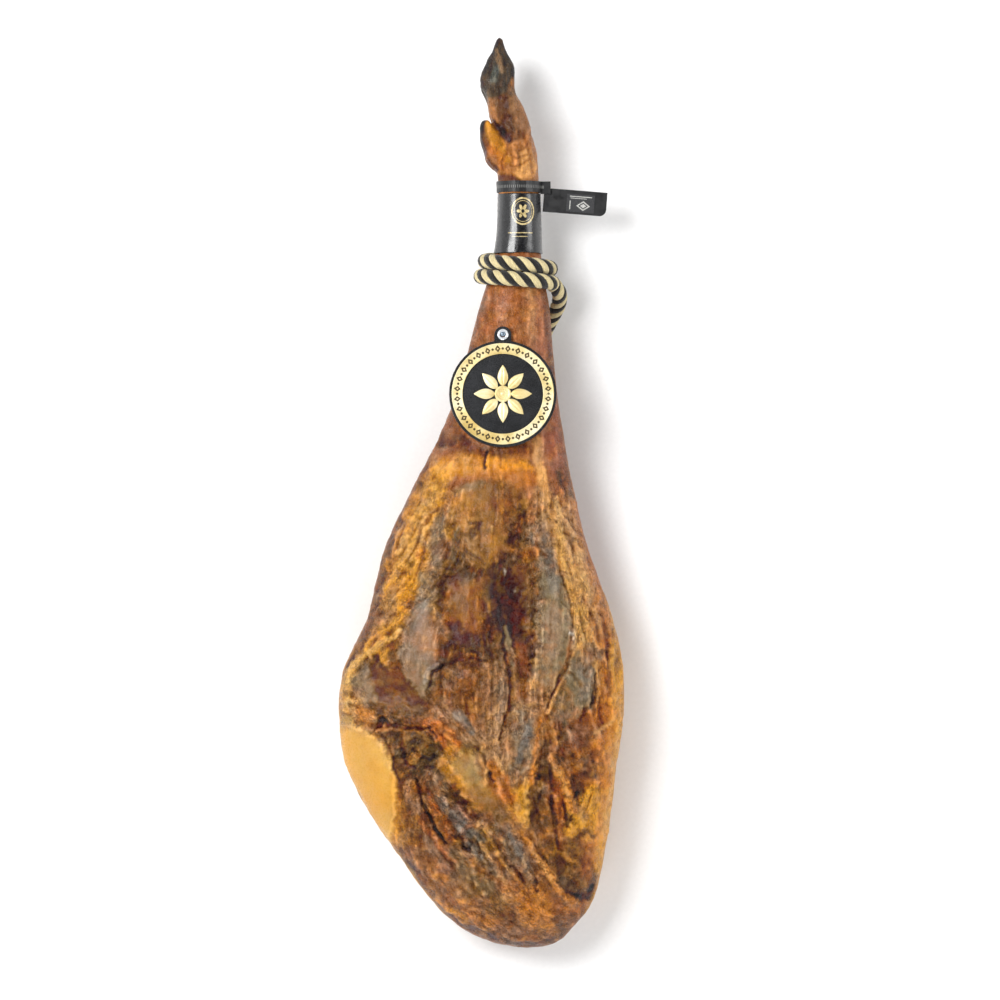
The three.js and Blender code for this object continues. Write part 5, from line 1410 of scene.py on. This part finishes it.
def seal():
    """Black plastic with the strap's pale teeth."""
    m = Nodes("seal_plastic")
    at = m.object_coords()
    grainy = m.noise(at, 2400, 3)
    cloudy = m.noise(at, 160, 3)
    centre = np.mean(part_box("shank_sleeve"), axis=0)
    x, y, z = m.parts(at)
    turn = m.math("ARCTAN2", z - centre[2], x - centre[0])
    teeth = m.near(m.math("FRACT", turn * 11.0), 0.5, 0.2) * m.near(y, STRAP_MIDDLE, 0.0013)
    plastic = m.ramp(grainy, {0.3: "09090a", 0.7: "161618"})
    m.set(Base_Color=m.mix(teeth * 0.35, plastic, "a9a9a4"), Roughness=m.remap(cloudy, 0.3, 0.7, 0.28, 0.5))
    m.set(Normal=m.bump(grainy, 0.00012, 0.5, m.bump(teeth, 0.0004, 0.6)))
    dress(bevelled("seal_tag", "seal_and_flag", m.material, 0.45), "seal", "seal_tag")


def flag_label():
    """A grey sticker with ruled lines and a lozenge."""
    low_corner, high_corner = (np.array(c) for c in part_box("flag_label"))
    middle, size = (low_corner + high_corner) / 2, high_corner - low_corner
    m = Nodes("foil_label")
    at = m.object_coords()
    x, y, _ = m.parts(at)
    dx, dy = x - middle[0], y - middle[1]
    cos, sin = math.cos(LABEL_TILT), math.sin(LABEL_TILT)
    u, v = dx * cos + dy * sin, dy * cos - dx * sin
    fine = m.noise(at, 1300, 3)
    top_line = m.near(v, size[1] * 0.33, 0.0004) * m.near(u, 0.0, size[0] * 0.38)
    next_line = m.near(v, size[1] * 0.24, 0.00025) * m.near(u, -0.002, size[0] * 0.28)
    side_line = m.near(u, -size[0] * 0.36, 0.0004) * m.near(v, -0.002, size[1] * 0.22)
    reach = abs((u - 0.0025) / 0.0062) + abs((v + 0.0022) / 0.0044)
    lozenge = (reach < 1.0) * (reach > 0.72) + (reach < 0.45)
    lines = m.math("ADD", top_line + next_line, side_line + lozenge, clamp=True)
    sticker = m.ramp(fine, {0.3: "1d1d1f", 0.7: "3b3b3d"})
    lit = m.ramp(fine, {0.3: "8f8f8a", 0.7: "cfcfca"})
    m.set(Base_Color=m.mix(lines, sticker, lit), Roughness=m.remap(fine, 0.3, 0.7, 0.3, 0.5))
    m.set(Normal=m.bump(lines, 0.0002, 0.5))
    dress(bevelled("flag_label", "foil_label", m.material, 0.06, 2), "label", "flag_label")


# ---------------------------------------------------------------- medallion
ORNAMENTS = 28
ORNAMENT_RADIUS = 40.8
ORNAMENT_PITCH = 2 * math.pi * ORNAMENT_RADIUS / ORNAMENTS
RING_INNER, RING_OUTER, RING_BORDER, RING_LIP = 36.0, 45.6, 1.0, 0.45
RING_THICK = 0.8
PETALS, PETAL_FIRST, PETAL_LAST, PETAL_HALF = 8, 7.0, 26.0, 4.6
PETAL_STEPS, PETAL_POINTS = 22, 19  # along a petal, and across its upper side
RELIEF_THICK = 1.2
BEADS, BEAD_CIRCLE = 12, 3.75


def disc_place(node):
    """Middle of a round node's upper face, and the axes across, along and out of it, in mm."""
    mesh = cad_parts[node].data
    normal = Vector((0, 0, 0))
    for p in mesh.polygons:
        if p.normal.z > 0.9:
            normal += p.normal * p.area
    normal = np.array(normal.normalized())
    points = vertex_array(mesh) / MM
    middle = (points.min(0) + points.max(0)) / 2
    middle = middle + normal * ((points @ normal).max() - middle @ normal)
    across = np.array([1.0, 0, 0]) - normal * normal[0]
    across /= np.linalg.norm(across)
    return middle, across, np.cross(normal, across), normal


def turned_points(profile, where, sides):
    """A ring of points for each (radius, height) of the profile."""
    middle, across, along, out = where
    a = round_angles(sides)
    circle = np.outer(np.cos(a), across) + np.outer(np.sin(a), along)
    return np.vstack([middle + r * circle + h * out for r, h in profile])


def turned(name, profile, where, material, sides=96, ring=False):
    """A body turned about the axis at where. The profile is (radius, height) from one pole."""
    points = turned_points(profile, where, sides) * MM
    return new_object(name, points, tube_faces(len(profile), sides, closed=ring), material, 35)


def rounded(profile, radius, steps=4):
    """A closed profile with each corner rounded."""
    points = []
    n = len(profile)
    for k in range(n):
        before, at, after = (np.array(profile[(k + d) % n], float) for d in (-1, 0, 1))
        r = min(radius, np.linalg.norm(before - at) / 2.2, np.linalg.norm(after - at) / 2.2)
        a = at + (before - at) / np.linalg.norm(before - at) * r
        b = at + (after - at) / np.linalg.norm(after - at) * r
        for t in np.linspace(0, 1, steps + 1):
            points.append((1 - t) ** 2 * a + 2 * t * (1 - t) * at + t ** 2 * b)
    return points


def gold_look(name, ornament=False):
    m = Nodes(name)
    at = m.object_coords()
    fine = m.noise(at, 1900, 3)
    base = m.ramp(m.noise(at, 46, 3), {0.34: "ccb26c", 0.5: "e8d79e", 0.66: "f6edc8"})
    base = m.mix(m.remap(fine, 0.35, 0.65, 0.0, 0.35), base, "b3924c")
    height = fine
    if ornament:
        part, r, _ = m.parts(m.attribute("polar", "Vector"))
        beside = (m.math("FRACT", part) - 0.5) * ORNAMENT_PITCH
        up = r - ORNAMENT_RADIUS
        reach = abs(beside) / 2.5 + abs(up) / 3.2
        gap = ORNAMENT_PITCH / 2 - abs(beside)
        dot = gap * gap + up * up < 1.2
        marks = m.math("ADD", (reach < 1.0) * (reach > 0.36), dot, clamp=True)
        base = m.mix(marks, base, m.ramp(fine, {0.3: "2e2310", 0.7: "54421c"}))
        height = fine * 0.3 - marks
    m.set(Base_Color=base, Roughness=m.remap(fine, 0.3, 0.7, 0.26, 0.42), Metallic=0.25)
    m.set(Normal=m.bump(height, 0.0002, 0.6))
    return m.material


def gold_ring():
    inner, outer, slope = RING_INNER + RING_BORDER, RING_OUTER - RING_BORDER, 0.25
    profile = rounded([
        (RING_INNER, -RING_THICK), (RING_INNER, RING_LIP), (inner, RING_LIP), (inner + slope, 0),
        (outer - slope, 0), (outer, RING_LIP), (RING_OUTER, RING_LIP), (RING_OUTER, -RING_THICK),
    ], 0.22)
    sides = 288
    where = disc_place("medallion_ring")
    obj = turned("gold_ring", profile, where, gold_look("gold_enamel", True), sides, ring=True)
    part = np.arange(sides) * ORNAMENTS / sides
    set_attribute(obj.data, "polar", [(p, r, 0) for r, _ in profile for p in part], "FLOAT_VECTOR")
    dress(obj, "gold", "medallion_ring")


def petal(where, angle):
    """Rings of points from a petal's root to its tip, domed over a flat back, with a rib."""
    middle, across, along, out = where
    forward = math.cos(angle) * across + math.sin(angle) * along
    sideways = np.cross(out, forward)
    s = np.linspace(-1, 1, PETAL_POINTS)
    points = []
    for t in np.linspace(0.004, 0.996, PETAL_STEPS):
        width = PETAL_HALF * math.sin(math.pi * t ** 0.8) ** 0.85 + 0.05
        dome = (0.15 + 0.75 * math.sin(math.pi * t) ** 0.6) * np.sqrt(1 - s ** 2 * 0.98)
        rib = 0.32 * np.exp(-(s / 0.16) ** 2) * math.sin(math.pi * t)
        foot = middle + forward * (PETAL_FIRST + (PETAL_LAST - PETAL_FIRST) * t)
        points += [foot + sideways * width * side + out * h for side, h in zip(s, dome - rib - 0.75)]
        points += [foot + sideways * width * side - out * RELIEF_THICK for side in s[::-1][1:-1]]
    return points


def rosette():
    """Eight domed petals round a beaded hub, in one object."""
    where = middle, across, along, out = disc_place("medallion_rosette")
    points, faces = [], []

    def add(more, rings, sides, closed=False):
        faces.extend(tube_faces(rings, sides, len(points), closed))
        points.extend(more)

    for k in range(PETALS):
        add(petal(where, math.pi / 2 + 2 * math.pi * k / PETALS), PETAL_STEPS, 2 * PETAL_POINTS - 2)
    back = -RELIEF_THICK
    hub = [(0.6, back), (7.4, back), (7.4, -0.3), (6.2, 0.25), (4.9, -0.1), (4.6, -0.5), (0.6, -0.5)]
    hub = rounded(hub, 0.3)
    add(turned_points(hub, where, 64), len(hub), 64, closed=True)
    knob = [(0.05, 0.35), (1.3, 0.2), (2.2, -0.15), (2.6, -0.6), (2.6, back), (0.05, back)]
    add(turned_points(knob, where, 32), len(knob), 32)
    bead = [(0.03, 0.1), (0.4, 0.0), (0.6, -0.25), (0.6, -0.7), (0.03, -0.7)]
    for a in round_angles(BEADS):
        spot = middle + BEAD_CIRCLE * (math.cos(a) * across + math.sin(a) * along)
        add(turned_points(bead, (spot, across, along, out), 12), len(bead), 12)
    obj = new_object("gold_rosette", np.array(points) * MM, faces, gold_look("gold_relief"), 50)
    dress(obj, "gold", "medallion_rosette")


def medallion_disc():
    m = Nodes("black_enamel")
    at = m.object_coords()
    fine = m.noise(at, 1700, 3)
    m.set(Base_Color=m.ramp(m.noise(at, 60, 3), {0.3: "0d0e10", 0.7: "232427"}))
    m.set(Roughness=m.remap(fine, 0.3, 0.7, 0.2, 0.34), Normal=m.bump(fine, 0.00008, 0.4))
    dress(bevelled("medallion_disc", "enamel_disc", m.material, 0.3), "medallion", "medallion_disc")


def metal(name, scale, colours, roughness, metallic):
    m = Nodes(name)
    fine = m.noise(m.object_coords(), scale, 3)
    m.set(Base_Color=m.ramp(fine, colours), Roughness=roughness, Metallic=metallic)
    m.set(Normal=m.bump(fine, 0.00005, 0.5))
    return m.material


def eyelet_and_tack():
    nickel = metal("nickel", 2600, {0.3: "c2c6cb", 0.7: "f1f3f5"}, 0.2, 0.45)
    section = [
        (2.6, -3.0), (3.2, -3.0), (3.2, -0.8), (4.85, -0.75), (4.9, -0.45), (4.1, 0), (3.2, 0), (2.6, -0.5),
    ]
    ring = turned("eyelet_ring", rounded(section, 0.3), disc_place("eyelet"), nickel, 72, ring=True)
    dress(ring, "steel", "eyelet")
    # The tack head is steel with a painted grey-blue reflection in its colour.
    tack_steel = metal("steel_with_painted_reflection", 2200, {0.3: "4c5a68", 0.7: "8a9aa8"}, 0.28, 0.4)
    profile = [
        (0.03, 0), (0.9, -0.08), (1.7, -0.35), (2.2, -0.7), (2.25, -0.95), (2.1, -1.0), (1.05, -1.0),
        (1.05, -10), (0.7, -12), (0.04, -13.8),
    ]
    dress(turned("tack_head", profile, disc_place("tack"), tack_steel, 40), "steel", "tack")


sleeve()
seal()
flag_label()
medallion_disc()
gold_ring()
rosette()
eyelet_and_tack()
